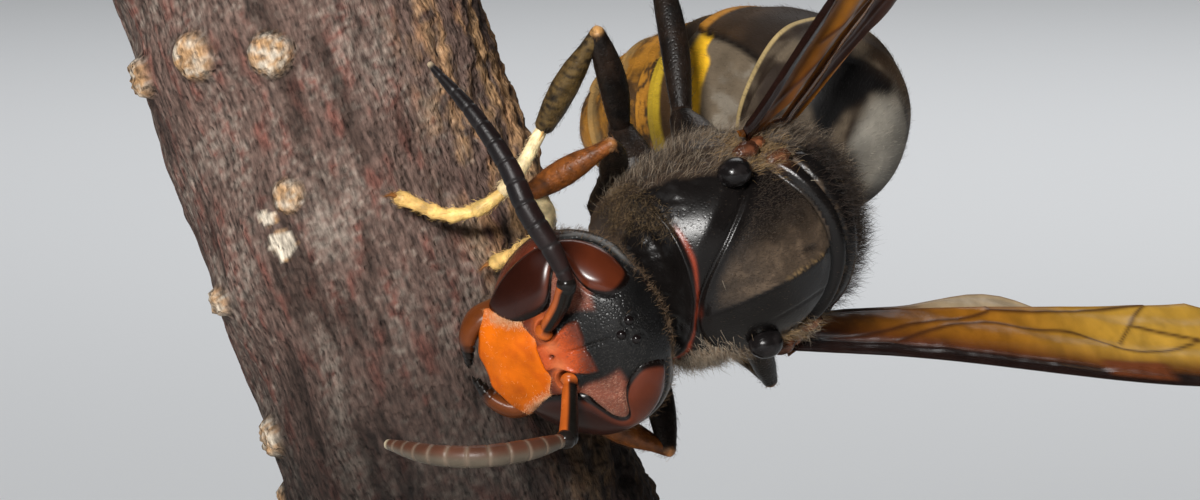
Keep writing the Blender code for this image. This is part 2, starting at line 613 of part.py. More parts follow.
def wing_shape(plan, side):
    """Blade with its main veins raised on both faces, the faces split into triangles alike."""
    heading, across, normal = wing_axes(side)
    veins = np.array(plan["veins"])
    valleys = (veins[1:] + veins[:-1]) / 2
    columns = np.sort(np.concatenate([[0, 1], veins, valleys]))
    raised = np.isin(columns, veins)
    rows = np.linspace(0, 1, plan["rows"] + 1)
    width = np.interp(rows, *np.array(plan["widths"]).T)
    sweep = TIP_SWEEP * np.maximum(0, (rows - 0.75) / 0.25) ** 2.2
    along = plan["start"] + rows * plan["length"]
    offset, more, near, far = plan["bow"][side]
    share = np.clip((along - near) / (far - near), 0, 1)
    bow = offset + more * share ** 2 * (3 - 2 * share)
    edge = plan["edge_in"][side] * np.minimum(1, rows * 8) + sweep - bow
    span = edge[:, None] + columns * (width - sweep * 0.3)[:, None]
    root = np.array(WINGS[side][0]) - plan["below"] * normal
    middle = root + along[:, None, None] * heading + span[..., None] * across
    thin = 1 - TIP_THINNING * np.maximum(0, (rows - 0.9) / 0.1)
    half = WING_THICKNESS / 2 * thin[:, None] + VEIN_RISE * raised * thin[:, None]
    low, high = plan["stigma"]
    half = half + VEIN_RISE * ((rows > low) & (rows < high))[:, None] * (columns < veins[1])
    upper, lower = middle + half[..., None] * normal, middle - half[..., None] * normal
    count, wide = len(rows), len(columns)
    index = np.arange(count * wide).reshape(count, wide)
    below = index + count * wide
    faces = []
    for i in range(count - 1):
        for j in range(wide - 1):
            a, b, c, d = index[i, j], index[i + 1, j], index[i + 1, j + 1], index[i, j + 1]
            faces += [(a, b, c), (a, c, d)]
            a, b, c, d = below[i, j], below[i + 1, j], below[i + 1, j + 1], below[i, j + 1]
            faces += [(c, b, a), (d, c, a)]
    rim = [*index[:, 0], *index[-1, 1:], *index[-2::-1, -1], *index[0, -2:0:-1]]
    for a, b in zip(rim, rim[1:] + rim[:1]):
        faces.append((a, a + count * wide, b + count * wide, b))
    vertices = np.vstack([upper.reshape(-1, 3), lower.reshape(-1, 3)])
    return vertices, [tuple(int(k) for k in face) for face in faces]


def build_wings(frame, specimen, membrane):
    """Two pairs of wings, cut clear of the thorax and of the first segment of the gaster."""
    for side in ("right", "left"):
        fore = make_piece(f"forewing_{side}", wing_shape(FOREWING, side), frame, membrane)
        combine(fore, make_piece("thorax", thorax_shape(GAP), frame), "DIFFERENCE")
        finish(fore)
        hind = make_piece(f"hindwing_{side}", wing_shape(HINDWING, side), frame, membrane)
        combine(hind, make_piece("gaster", gaster_shapes(GAP)[0], specimen), "DIFFERENCE")
        finish(hind)


def build_leg(place, side, specimen, thorax, dark, pale):
    """Coxa, femur, tibia and tarsus, each cut clear of the one that carries it."""
    plan = LEGS[(place, side)]
    root = thorax_to_specimen(plan["root"])
    hip, knee, ankle = (np.array(joint) for joint in plan["joints"])
    toes = [ankle, *plan["tarsus"]]
    name = f"leg_{place}_{side}"
    segments = {
        "coxa": ((root, (root + hip) / 2, hip), COXA_RADII, 8, 4),
        "femur": ((hip, (hip + knee) / 2, knee), FEMUR_RADII, 8, 5),
        "tibia": ((knee, (knee + ankle) / 2, ankle), TIBIA_RADII, 8, 5),
        "tarsus": (toes, TARSUS_RADII, 8, 3 * TARSOMERES),
    }
    body = ("thorax", thorax_shape(GAP), thorax)
    bough = ("branch", branch_shape(GAP), specimen)
    carrier = None
    for segment, (points, radii, sides, steps) in segments.items():
        waists = TARSOMERES if segment == "tarsus" else 0
        shape = rod(points, radii, sides, steps, waists=waists)
        piece = make_piece(f"{name}_{segment}", shape, specimen, pale if segment == "tarsus" else dark)
        if segment == "tarsus":
            fuse(piece, claws(toes, specimen))
        cutters = {"coxa": [body], "femur": [body], "tarsus": [bough]}.get(segment, [])
        for cutter in cutters + ([carrier] if carrier else []):
            combine(piece, make_piece(*cutter), "DIFFERENCE")
        finish(piece)
        carrier = (segment, rod(points, radii, sides, steps, GAP), specimen)


def claws(toes, frame):
    """Two small hooks that spread from the end of a tarsus."""
    end, before = np.array(toes[-1]), np.array(toes[-2])
    ahead = unit(end - before)
    aside = unit(np.cross(ahead, (0, 0, 1)))
    pair = []
    for sign in (1, -1):
        tip = end + ahead * CLAW_LENGTH + sign * aside * CLAW_SPREAD
        points = (end - ahead * 0.2, (end + tip) / 2 + sign * aside * 0.05, tip)
        pair.append(make_piece("claw", rod(points, (CLAW_RADIUS, CLAW_RADIUS, CLAW_RADIUS / 3), 6, 3), frame))
    return pair


def branch_shape(grow=0.0, steps=16, sides=22):
    """Leaning branch with slow swellings and a few raised knots."""
    along = np.linspace(-BRANCH_DOWN, BRANCH_UP, steps)
    angles = np.linspace(0, 2 * math.pi, sides, endpoint=False)
    high, round_ = along[:, None], angles[None, :]
    radius = BRANCH_RADIUS + grow + 0.07 * np.sin(0.55 * high + 2 * round_) + 0.05 * np.sin(1.3 * high - 3 * round_)
    for place, angle, rise in BRANCH_KNOTS:
        turn = np.angle(np.exp(1j * (round_ - math.radians(angle))))
        radius = radius + rise * np.exp(-((high - place) / 0.9) ** 2 - (turn / 0.22) ** 2)
    axis = unit((-BRANCH_LEAN, 0, 1))
    side = unit((1, 0, BRANCH_LEAN))
    centres = np.array(BRANCH_MIDDLE) + high * axis
    circle = np.cos(angles)[:, None] * side + np.sin(angles)[:, None] * np.array((0, 1, 0))
    return ring_shape(centres[:, None] + radius[..., None] * circle[None])


def build_stand(specimen, bark, plate, steel):
    branch = make_piece("perch_branch", branch_shape(), specimen, bark)
    combine(branch, make_piece("cut", block((-60, -60, -60), (60, 60, BRANCH_CUT)), None), "DIFFERENCE")
    finish(branch)
    wide, deep, thick = BASE_SIZE
    base = make_piece("stand_base", block((-wide / 2, -deep / 2, 0), (wide / 2, deep / 2, thick)), None, plate)
    soft = base.modifiers.new("bevel", "BEVEL")
    soft.width = BASE_BEVEL * MM
    soft.segments = 2
    apply_modifiers(base)
    finish(base)
    axis, origin = unit((-BRANCH_LEAN, 0, 1)), np.array(BRANCH_MIDDLE)
    low, high = (to_world(origin + axis * k) for k in (-20.0, 0.0))
    foot = low + (high - low) * (BRANCH_CUT - low[2]) / (high[2] - low[2])
    angles = np.linspace(0, 2 * math.pi, 24, endpoint=False)
    disc = np.stack([ROD_RADIUS * np.cos(angles), ROD_RADIUS * np.sin(angles), 0 * angles], axis=-1)
    levels = (thick + GAP, BRANCH_CUT - GAP)
    rings = [disc + (foot[0], foot[1], level) for level in levels]
    finish(make_piece("stand_rod", ring_shape(rings), None, steel))


def specimen_axes():
    lean = math.radians(VIEW_RISE)
    return np.array([[1, 0, 0], [0, math.cos(lean), -math.sin(lean)], [0, math.sin(lean), math.cos(lean)]]).T


def to_world(point):
    return np.array(SPECIMEN_ORIGIN) + specimen_axes() @ np.asarray(point, float)


def main():
    clear_scene()
    chitin = make_material("black_chitin", (0.018, 0.014, 0.012), 0.35)
    banded = make_material("banded_chitin", (0.45, 0.22, 0.05), 0.45)
    orange = make_material("orange_face", (0.75, 0.20, 0.02), 0.5)
    eye = make_material("eye_brown", (0.09, 0.02, 0.012), 0.12)
    pale = make_material("yellow_tarsus", (0.85, 0.55, 0.16), 0.5)
    membrane = make_material("wing_amber", (0.33, 0.13, 0.03), 0.25)
    bark = make_material("bark", (0.20, 0.11, 0.085), 0.85)
    plate = make_material("stand_plate", (0.60, 0.59, 0.57), 0.5)
    steel = make_material("stand_steel", (0.55, 0.55, 0.56), 0.3, 1.0)
    specimen = make_frame("specimen_frame", specimen_axes(), SPECIMEN_ORIGIN)
    thorax = make_frame("thorax_frame", axes_as_seen(*THORAX_TURN), THORAX_CENTRE, specimen)
    head = make_frame("head_frame", head_axes(), HEAD_CENTRE, specimen)
    bpy.context.view_layer.update()
    build_thorax(thorax, chitin)
    build_head(head, chitin, orange, eye)
    build_neck(specimen, thorax, head, chitin)
    build_antennae(specimen, head, chitin)
    build_gaster(specimen, thorax, chitin, banded)
    build_wings(thorax, specimen, membrane)
    for place, side in LEGS:
        build_leg(place, side, specimen, thorax, chitin, pale)
    build_stand(specimen, bark, plate, steel)


main()
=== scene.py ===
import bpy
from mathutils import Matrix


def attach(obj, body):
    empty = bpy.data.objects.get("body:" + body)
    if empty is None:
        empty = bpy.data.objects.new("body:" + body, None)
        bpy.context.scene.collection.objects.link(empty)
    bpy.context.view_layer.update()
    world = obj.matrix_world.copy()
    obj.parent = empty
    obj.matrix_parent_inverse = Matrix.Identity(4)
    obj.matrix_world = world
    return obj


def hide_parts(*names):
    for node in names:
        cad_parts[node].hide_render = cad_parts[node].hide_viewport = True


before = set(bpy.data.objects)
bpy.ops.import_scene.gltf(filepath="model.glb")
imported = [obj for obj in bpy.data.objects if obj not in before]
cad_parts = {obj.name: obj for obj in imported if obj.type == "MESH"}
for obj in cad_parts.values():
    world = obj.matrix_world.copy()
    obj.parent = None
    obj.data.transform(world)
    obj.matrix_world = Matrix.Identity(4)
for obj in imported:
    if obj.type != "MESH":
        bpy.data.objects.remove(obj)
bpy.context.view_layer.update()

import math

import bpy
import numpy as np
from mathutils import Matrix

mm = 0.001
full = 2 * math.pi


# Each vector over its length, along the last axis.
def unit(vectors):
    vectors = np.asarray(vectors, float)
    return vectors / np.maximum(np.linalg.norm(vectors, axis=-1, keepdims=True), 1e-12)


# 0 below low, 1 above high and 3t^2 - 2t^3 between, t being the share of the way from low to high.
def smoothStep(low, high, value):
    t = np.clip((value - low) / (high - low), 0, 1)
    return t * t * (3 - 2 * t)


# A smooth bump: exp(-(value / width)^2).
def bell(value, width):
    return np.exp(-(value / width) ** 2)


# Smooth noise of about -1 to 1: sines of the place along seeded directions, each octave half as wide and high.
def ripples(points, size, seed, octaves=3):
    rng = np.random.default_rng(seed)
    total = np.zeros(points.shape[:-1])
    for octave in range(octaves):
        for _ in range(5):
            way, other = unit(rng.normal(size=(2, 3)))
            phase, shift = rng.uniform(0, full, 2)
            pace = full * 2 ** octave / size
            warp = 1.6 * np.sin(points @ other * pace * 0.7 + shift)
            total += np.sin(points @ way * pace + phase + warp) * 0.5 ** octave
    return total / 4


# first where share is 0 and second where it is 1.
def mix(first, second, share):
    share = np.asarray(share, float)[..., None]
    return np.asarray(first, float) * (1 - share) + np.asarray(second, float) * share


# Catmull-Rom curve: each span is the cubic whose slope at a point is half the step between its neighbours.
def curveThrough(points, count):
    points = np.asarray(points, float)
    padded = np.vstack([2 * points[0] - points[1], points, 2 * points[-1] - points[-2]])
    steps = np.linspace(0, len(points) - 1, count)
    spans = np.minimum(steps.astype(int), len(points) - 2)
    t = (steps - spans)[:, None]
    a, b, c, d = (padded[spans + k] for k in range(4))
    return 0.5 * (2 * b + (c - a) * t + (2 * a - 5 * b + 4 * c - d) * t ** 2 + (3 * b - a - 3 * c + d) * t ** 3)


# The path again with count points at even steps of its length.
def evenly(path, count):
    length = np.concatenate([[0], np.cumsum(np.linalg.norm(np.diff(path, axis=0), axis=1))])
    at = np.linspace(0, length[-1], count)
    return np.stack([np.interp(at, length, path[:, k]) for k in range(path.shape[1])], axis=-1)


# Tangent and two square axes at each point, the first axis kept as near as it goes to the one before.
def crossAxes(path, hint=None):
    tangents = unit(np.gradient(path, axis=0))
    side = np.asarray(hint, float) if hint is not None else np.eye(3)[np.argmin(np.abs(tangents[0]))]
    sides = []
    for tangent in tangents:
        side = unit(side - tangent * (side @ tangent))
        sides.append(side)
    sides = np.array(sides)
    return tangents, sides, np.cross(tangents, sides)


pose = {
    "origin": (0.6, -5.2, 26.0), "rise": 6.0,
    "thorax": (2.85, 0.0, 0.11), "thoraxTurn": (20.0, 30.0, 21.7),
    "head": (-0.49, -2.85, -1.95), "headTurn": (15.0, -30.0, 15.0),
}


# Columns right, forward, up of a body whose back faces the viewer: rolled, pitched and turned in that order.
def axesAsSeen(roll, pitch, turn):
    r, p, t = (math.radians(angle) for angle in (roll, pitch, turn))
    start = np.array([[0, -math.sin(r), math.cos(r)], [-1, 0, 0], [0, -math.cos(r), -math.sin(r)]]).T
    aboutUp = np.array([[math.cos(p), -math.sin(p), 0], [math.sin(p), math.cos(p), 0], [0, 0, 1]])
    aboutAway = np.array([[math.cos(t), 0, -math.sin(t)], [0, 1, 0], [math.sin(t), 0, math.cos(t)]])
    return aboutAway @ aboutUp @ start


lean = math.radians(pose["rise"])
specimenAxes = np.array([[1, 0, 0], [0, math.cos(lean), -math.sin(lean)], [0, math.sin(lean), math.cos(lean)]]).T
thoraxAxes = axesAsSeen(*pose["thoraxTurn"])
headRight, headChin, headFace = axesAsSeen(*pose["headTurn"]).T
headAxes = np.array([headRight, headFace, -headChin]).T


# Specimen millimetres (right, away, up in the view) to world millimetres.
def fromSpecimen(points):
    return np.asarray(points, float) @ specimenAxes.T + pose["origin"]


# Thorax millimetres (right, forward, up of the body) to world millimetres, by its turn and centre.
def fromThorax(points):
    return fromSpecimen(np.asarray(points, float) @ thoraxAxes.T + pose["thorax"])


# Head millimetres (right, out of the face, up) to world millimetres, by its turn and centre.
def fromHead(points):
    return fromSpecimen(np.asarray(points, float) @ headAxes.T + pose["head"])


# A place of the thorax frame in specimen millimetres, by the thorax's turn and centre.
def thoraxPoint(point):
    return np.asarray(point, float) @ thoraxAxes.T + pose["thorax"]


# Unit cross product of the steps along rows and round the columns, turned outwards from the grid's middle.
def gridNormals(points):
    down = np.gradient(points, axis=0)
    over = np.roll(points, -1, axis=1) - np.roll(points, 1, axis=1)
    normals = unit(np.cross(over, down))
    away = points - points.mean(axis=(0, 1))
    return normals if (normals * away).sum() > 0 else -normals


# One grid of points (rows, columns, 3) in world millimetres, closed round its columns, with colours and caps.
def sheet(points, colour, caps=(True, True), slot=0, gloss=0.5):
    colour = np.broadcast_to(np.asarray(colour, float), points.shape)
    gloss = np.broadcast_to(gloss, points.shape[:2])
    return {"points": points, "colour": colour, "caps": caps, "slot": slot, "gloss": gloss}


# Four corners a cell, row by row, the last column joined to the first.
def gridFaces(rows, columns):
    i = np.arange(rows - 1)[:, None]
    j = np.arange(columns)[None]
    k = (j + 1) % columns
    return np.stack([i * columns + j, i * columns + k, (i + 1) * columns + k, (i + 1) * columns + j], -1).reshape(-1, 4)


# Unit ball with its poles along y: sin a cos t, -cos a, sin a sin t, a from low to high and t once round.
def unitBall(rows, columns, low, high):
    slopes = np.linspace(low, high, rows)[:, None]
    turns = np.linspace(0, full, columns, endpoint=False)[None]
    return np.stack([np.sin(slopes) * np.cos(turns), -np.cos(slopes) + 0 * turns, np.sin(slopes) * np.sin(turns)], -1)


# Mesh object at the origin from flat arrays, in metres.
def meshFrom(name, vertices, corners, starts, colours, glosses, materials, slots, unwrap=None):
    mesh = bpy.data.meshes.new(name)
    mesh.vertices.add(len(vertices))
    mesh.vertices.foreach_set("co", (vertices * mm).astype(np.float32).ravel())
    mesh.loops.add(len(corners))
    mesh.loops.foreach_set("vertex_index", corners.astype(np.int32))
    mesh.polygons.add(len(starts))
    mesh.polygons.foreach_set("loop_start", starts.astype(np.int32))
    mesh.polygons.foreach_set("material_index", slots.astype(np.int32))
    mesh.update(calc_edges=True)
    paint = mesh.attributes.new("paint", "FLOAT_COLOR", "POINT")
    both = np.concatenate([colours, glosses[:, None]], axis=1)
    paint.data.foreach_set("color", both.astype(np.float32).ravel())
    if unwrap is not None:
        layer = mesh.uv_layers.new(name="OFBake")
        layer.data.foreach_set("uv", unwrap[corners].astype(np.float32).ravel())
    mesh.shade_smooth()
    for material in materials:
        mesh.materials.append(material)
    piece = bpy.data.objects.new(name, mesh)
    bpy.context.scene.collection.objects.link(piece)
    return piece


# One object from grids; each is wound so that its faces look outwards.
def joinSheets(name, sheets, materials):
    vertices, corners, sizes, colours, glosses, slots = [], [], [], [], [], []
    base = 0
    for item in sheets:
        points = item["points"]
        rows, columns = points.shape[:2]
        flat = points.reshape(-1, 3)
        tint = item["colour"].reshape(-1, 3)
        shine = item["gloss"].reshape(-1)
        quads = gridFaces(rows, columns)
        tris = []
        ring = np.arange(columns)
        following = (ring + 1) % columns
        if item["caps"][0]:
            flat = np.vstack([flat, points[0].mean(axis=0)])
            tint = np.vstack([tint, item["colour"][0].mean(axis=0)])
            shine = np.append(shine, item["gloss"][0].mean())
            tris.append(np.stack([np.full(columns, len(flat) - 1), following, ring], -1))
        if item["caps"][1]:
            flat = np.vstack([flat, points[-1].mean(axis=0)])
            tint = np.vstack([tint, item["colour"][-1].mean(axis=0)])
            shine = np.append(shine, item["gloss"][-1].mean())
            last = (rows - 1) * columns
            tris.append(np.stack([np.full(columns, len(flat) - 1), last + ring, last + following], -1))
        tris = np.concatenate(tris) if tris else np.zeros((0, 3), int)
        a, b, c = (flat[quads[:, k]] for k in range(3))
        faceways = np.cross(b - a, c - a)
        middles = flat[quads].mean(axis=1) - flat.mean(axis=0)
        if (faceways * middles).sum() < 0:
            quads, tris = quads[:, ::-1], tris[:, ::-1]
        vertices.append(flat)
        colours.append(tint)
        glosses.append(shine)
        corners += [quads.ravel() + base, tris.ravel() + base]
        sizes += [np.full(len(quads), 4), np.full(len(tris), 3)]
        slots.append(np.full(len(quads) + len(tris), item["slot"]))
        base += len(flat)
    sizes = np.concatenate(sizes)
    starts = np.concatenate([[0], np.cumsum(sizes)[:-1]])
    return meshFrom(name, np.vstack(vertices), np.concatenate(corners), starts, np.vstack(colours),
                    np.concatenate(glosses), materials, np.concatenate(slots))


# Rings about a path: point + radius (cos a side + flatten sin a up), ends rounded by quarter circles.
def tube(path, radii, columns, flatten=1.0, hint=None):
    path = np.asarray(path, float)
    radii = np.asarray(radii, float)
    tangents, sides, ups = crossAxes(path, hint)
    turns = np.linspace(0, full, columns, endpoint=False)
    circle = np.cos(turns)[None, :, None] * sides[:, None] + flatten * np.sin(turns)[None, :, None] * ups[:, None]
    rings = path[:, None] + circle * radii[:, None, None]
    bends = np.radians([80, 60, 40, 20])[:, None, None]
    first = path[0] - np.sin(bends) * radii[0] * 0.8 * tangents[0] + np.cos(bends) * circle[0] * radii[0]
    last = path[-1] + np.sin(bends) * radii[-1] * 0.8 * tangents[-1] + np.cos(bends) * circle[-1] * radii[-1]
    rings = np.concatenate([first, rings])
    rings = np.concatenate([rings, last[::-1]])
    return rings


# Principled skin: painted colour times object-space noise, and roughness between its two values by 0.4 noise plus
# the paint's alpha less 0.2. Pits and grain are bumps, given as scale and depth in metres, and fibres draws the noise
# and the grain out that many times along the branch.
def makeMaterial(name, roughness, mottling, mottleScale, pits=None, grain=None, alpha=1.0, specular=0.5,
                 subsurface=0.0, fibres=0.0):
    material = bpy.data.materials.new(name)
    material.use_nodes = True
    nodes, links = material.node_tree.nodes, material.node_tree.links
    shader = nodes["Principled BSDF"]
    place = nodes.new("ShaderNodeTexCoord")
    where = place.outputs["Object"]
    if fibres:
        way = specimenAxes @ unit((-0.35, 0, 1))
        turned = nodes.new("ShaderNodeMapping")
        turned.vector_type = "TEXTURE"
        turned.inputs["Rotation"].default_value = (-math.asin(way[1]), math.atan2(way[0], way[2]), 0.0)
        turned.inputs["Scale"].default_value = (1.0, 1.0, fibres)
        links.new(where, turned.inputs["Vector"])
        where = turned.outputs["Vector"]
    paint = nodes.new("ShaderNodeAttribute")
    paint.attribute_name = "paint"
    noise = nodes.new("ShaderNodeTexNoise")
    noise.inputs["Scale"].default_value = mottleScale
    noise.inputs["Detail"].default_value = 4.0
    links.new(where, noise.inputs["Vector"])
    level = nodes.new("ShaderNodeMapRange")
    level.inputs["From Min"].default_value = 0.3
    level.inputs["From Max"].default_value = 0.7
    level.inputs["To Min"].default_value = 1.0 - mottling
    level.inputs["To Max"].default_value = 1.0 + mottling
    links.new(noise.outputs["Fac"], level.inputs["Value"])
    tinted = nodes.new("ShaderNodeVectorMath")
    tinted.operation = "SCALE"
    links.new(paint.outputs["Color"], tinted.inputs[0])
    links.new(level.outputs["Result"], tinted.inputs["Scale"])
    links.new(tinted.outputs["Vector"], shader.inputs["Base Color"])
    rough = nodes.new("ShaderNodeMapRange")
    rough.inputs["To Min"].default_value = roughness[0]
    rough.inputs["To Max"].default_value = roughness[1]
    wave = nodes.new("ShaderNodeMath")
    wave.operation = "MULTIPLY_ADD"
    wave.inputs[1].default_value = 0.4
    links.new(noise.outputs["Fac"], wave.inputs[0])
    fine = nodes.new("ShaderNodeMath")
    fine.operation = "SUBTRACT"
    fine.inputs[1].default_value = 0.2
    links.new(paint.outputs["Alpha"], fine.inputs[0])
    links.new(fine.outputs["Value"], wave.inputs[2])
    links.new(wave.outputs["Value"], rough.inputs["Value"])
    links.new(rough.outputs["Result"], shader.inputs["Roughness"])
    shader.inputs["Alpha"].default_value = alpha
    shader.inputs["Specular IOR Level"].default_value = specular
    if subsurface:
        shader.inputs["Subsurface Weight"].default_value = subsurface
        shader.inputs["Subsurface Radius"].default_value = (1.0, 0.4, 0.15)
        shader.inputs["Subsurface Scale"].default_value = 0.0002
    height = None
    if pits:
        scale, depth = pits
        cells = nodes.new("ShaderNodeTexVoronoi")
        cells.feature = "SMOOTH_F1"
        cells.inputs["Scale"].default_value = scale
        cells.inputs["Smoothness"].default_value = 0.6
        links.new(place.outputs["Object"], cells.inputs["Vector"])
        dent = nodes.new("ShaderNodeMapRange")
        dent.inputs["From Max"].default_value = 0.45
        links.new(cells.outputs["Distance"], dent.inputs["Value"])
        height = nodes.new("ShaderNodeBump")
        height.inputs["Strength"].default_value = 1.0
        height.inputs["Distance"].default_value = depth
        links.new(dent.outputs["Result"], height.inputs["Height"])
    if grain:
        scale, depth = grain
        grainNoise = nodes.new("ShaderNodeTexNoise")
        grainNoise.inputs["Scale"].default_value = scale
        grainNoise.inputs["Detail"].default_value = 3.0
        links.new(where, grainNoise.inputs["Vector"])
        bump = nodes.new("ShaderNodeBump")
        bump.inputs["Strength"].default_value = 1.0
        bump.inputs["Distance"].default_value = depth
        links.new(grainNoise.outputs["Fac"], bump.inputs["Height"])
        if height:
            links.new(height.outputs["Normal"], bump.inputs["Normal"])
        height = bump
    if height:
        links.new(height.outputs["Normal"], shader.inputs["Normal"])
    return material


finishes = {
    "chitinShine": {"roughness": (0.17, 0.55), "mottling": 0.25, "mottleScale": 1500.0, "pits": (13000.0, 0.000003),
                    "grain": (48000.0, 0.0000015), "specular": 0.20},
    "headShine": {"roughness": (0.16, 0.42), "mottling": 0.2, "mottleScale": 2200.0, "pits": (14500.0, 0.000010),
                  "grain": (42000.0, 0.000003), "specular": 0.24},
    "eyeGloss": {"roughness": (0.14, 0.45), "mottling": 0.25, "mottleScale": 900.0, "grain": (60000.0, 0.0000004),
                 "specular": 0.26},
    "bandedShine": {"roughness": (0.35, 0.7), "mottling": 0.25, "mottleScale": 1300.0, "pits": (15000.0, 0.000004),
                    "grain": (50000.0, 0.000003), "specular": 0.12},
    "legShine": {"roughness": (0.28, 0.60), "mottling": 0.45, "mottleScale": 3200.0, "pits": (12000.0, 0.000010),
                 "grain": (50000.0, 0.000004), "specular": 0.22, "subsurface": 0.04},
    "wingSkin": {"roughness": (0.18, 0.55), "mottling": 0.20, "mottleScale": 1300.0, "grain": (12000.0, 0.000004),
                 "specular": 0.30, "alpha": 0.93},
    "hairStrand": {"roughness": (0.4, 0.6), "mottling": 0.3, "mottleScale": 2500.0, "specular": 0.25},
    "barkSkin": {"roughness": (0.7, 0.98), "mottling": 0.65, "mottleScale": 9500.0, "pits": (5200.0, 0.00006),
                 "grain": (14000.0, 0.00006), "specular": 0.2, "fibres": 3.2},
    "woodCut": {"roughness": (0.6, 0.9), "mottling": 0.2, "mottleScale": 1500.0, "grain": (9000.0, 0.00002)},
}
chitinShine, headShine, eyeGloss, bandedShine, legShine, wingSkin, hairStrand, barkSkin, woodCut = (
    makeMaterial(name, **plan) for name, plan in finishes.items())


thoraxSections = (
    (2.95, 0.65, 0.25, -0.95), (2.78, 1.20, 0.80, -1.50), (2.42, 1.78, 1.30, -1.95), (2.00, 2.15, 1.74, -2.25),
    (1.20, 2.42, 2.30, -2.55), (0.30, 2.58, 2.68, -2.72), (-0.60, 2.55, 2.78, -2.75), (-1.50, 2.36, 2.60, -2.62),
    (-2.30, 2.12, 2.15, -2.40), (-3.00, 1.80, 1.35, -2.15), (-3.60, 1.35, 0.55, -1.85), (-4.00, 0.85, -0.35, -1.60),
)
thoraxLook = {
    "black": (0.0055, 0.0045, 0.0042), "carina": (0.20, 0.030, 0.012),
    # dustAndSheen: brown used as painted sheen on the back's right half, and as the real dusting in the rear groove
    "pleura": (0.030, 0.020, 0.014), "dustAndSheen": (0.115, 0.078, 0.050), "crest": (0.28, 0.18, 0.08),
    "wingFoot": (0.16, 0.06, 0.022),
    "middleLean": 0.243, "sutureTip": 2.02, "sutureBend": 0.36, "carinaAt": 2.25,
    "scutellumAt": -1.42, "postAt": -1.90,
}


# Signed distances to the collar's rear suture, its front keel and the two grooves behind, and the middle line.
def thoraxLines(local):
    look = thoraxLook
    x, y, z = np.moveaxis(local, -1, 0)
    plan = x + look["middleLean"] * np.maximum(y - look["scutellumAt"], 0)
    suture = (y - look["sutureTip"] + look["sutureBend"] * plan ** 2)
    suture = suture / np.sqrt(1 + (2 * look["sutureBend"] * plan) ** 2)
    front = y + 0.12 * z - look["carinaAt"]
    scutellum = y - look["scutellumAt"] - 0.16 * x ** 2
    post = y - look["postAt"] - 0.12 * x ** 2
    return plan, suture, front, scutellum, post


# 1 on the bare back and 0 on the hairy flanks, below a line that drops ahead of and behind the wing roots.
def bareShare(local):
    x, y, z = np.moveaxis(local, -1, 0)
    edge = 1.66 - 0.60 * np.maximum(y - 0.3, 0) ** 1.25 - 0.50 * np.maximum(-0.9 - y, 0)
    return smoothStep(-0.12, 0.12, z - edge) * smoothStep(-3.3, -2.9, y)


# Lofted ellipses, pushed along their normals by grooves, keels and humps that are bells of signed distances.
def thoraxSurface(rows=250, columns=300):
    sections = curveThrough(thoraxSections, rows)
    y, half, top, bottom = (column[:, None] for column in sections.T)
    turns = np.linspace(0, full, columns, endpoint=False)[None]
    local = np.stack([half * np.cos(turns), y + 0 * turns, (top + bottom) / 2 + (top - bottom) / 2 * np.sin(turns)], -1)
    normals = gridNormals(local)
    x, y, z = np.moveaxis(local, -1, 0)
    upper = smoothStep(-0.8, 0.4, z)
    plan, suture, front, scutellum, post = thoraxLines(local)
    collar = smoothStep(0.0, 0.45, suture)
    rise = 0.15 * collar * upper - 0.085 * bell(suture, 0.045) * upper * smoothStep(0.3, -0.1, front)
    rise += 0.02 * bell(suture + 0.09, 0.04) * upper
    rise += 0.07 * bell(front, 0.05) * upper - 0.30 * smoothStep(0.0, 0.35, front)
    disc = smoothStep(0.05, -0.3, suture) * smoothStep(-1.25, -0.8, y) * smoothStep(1.2, 1.8, z)
    ridge = np.sqrt(plan ** 2 + 0.05 ** 2) - 0.05
    rise += disc * (0.20 * np.exp(-ridge / 0.50) - 0.06)
    rise -= 0.05 * bell(np.hypot((x - 0.14) / 0.7, (y + 0.62) * 0.45), 0.10)
    for offset in (0.95, -0.95):
        rise -= 0.03 * bell(plan - offset, 0.035) * disc * smoothStep(0.6, 0.0, y)
    rise += upper * (-0.20 * bell(scutellum, 0.10) + 0.07 * bell(scutellum + 0.26, 0.15))
    rise += upper * (-0.13 * bell(post, 0.07) + 0.08 * bell(post + 0.35, 0.22))
    rise -= upper * 0.05 * bell(post + 0.75, 0.05)
    rise -= 0.05 * bell(x, 0.05) * smoothStep(-2.6, -3.0, y) * upper
    side = smoothStep(1.5, 1.1, z)
    rise -= 0.12 * bell(z - 0.95 + 0.25 * y, 0.09) * smoothStep(0.9, 0.3, y) * side
    rise -= 0.10 * bell(y + 0.55 + 0.25 * z, 0.08) * smoothStep(0.8, 0.2, z) * smoothStep(-2.2, -1.5, z)
    rise -= 0.10 * bell(y + 1.9 + 0.15 * z, 0.08) * smoothStep(0.9, 0.3, z)
    rise += side * 0.05 * ripples(local, 1.1, 8) + 0.004 * ripples(local, 1.8, 3)
    local = local + rise[..., None] * normals
    return local, gridNormals(local)
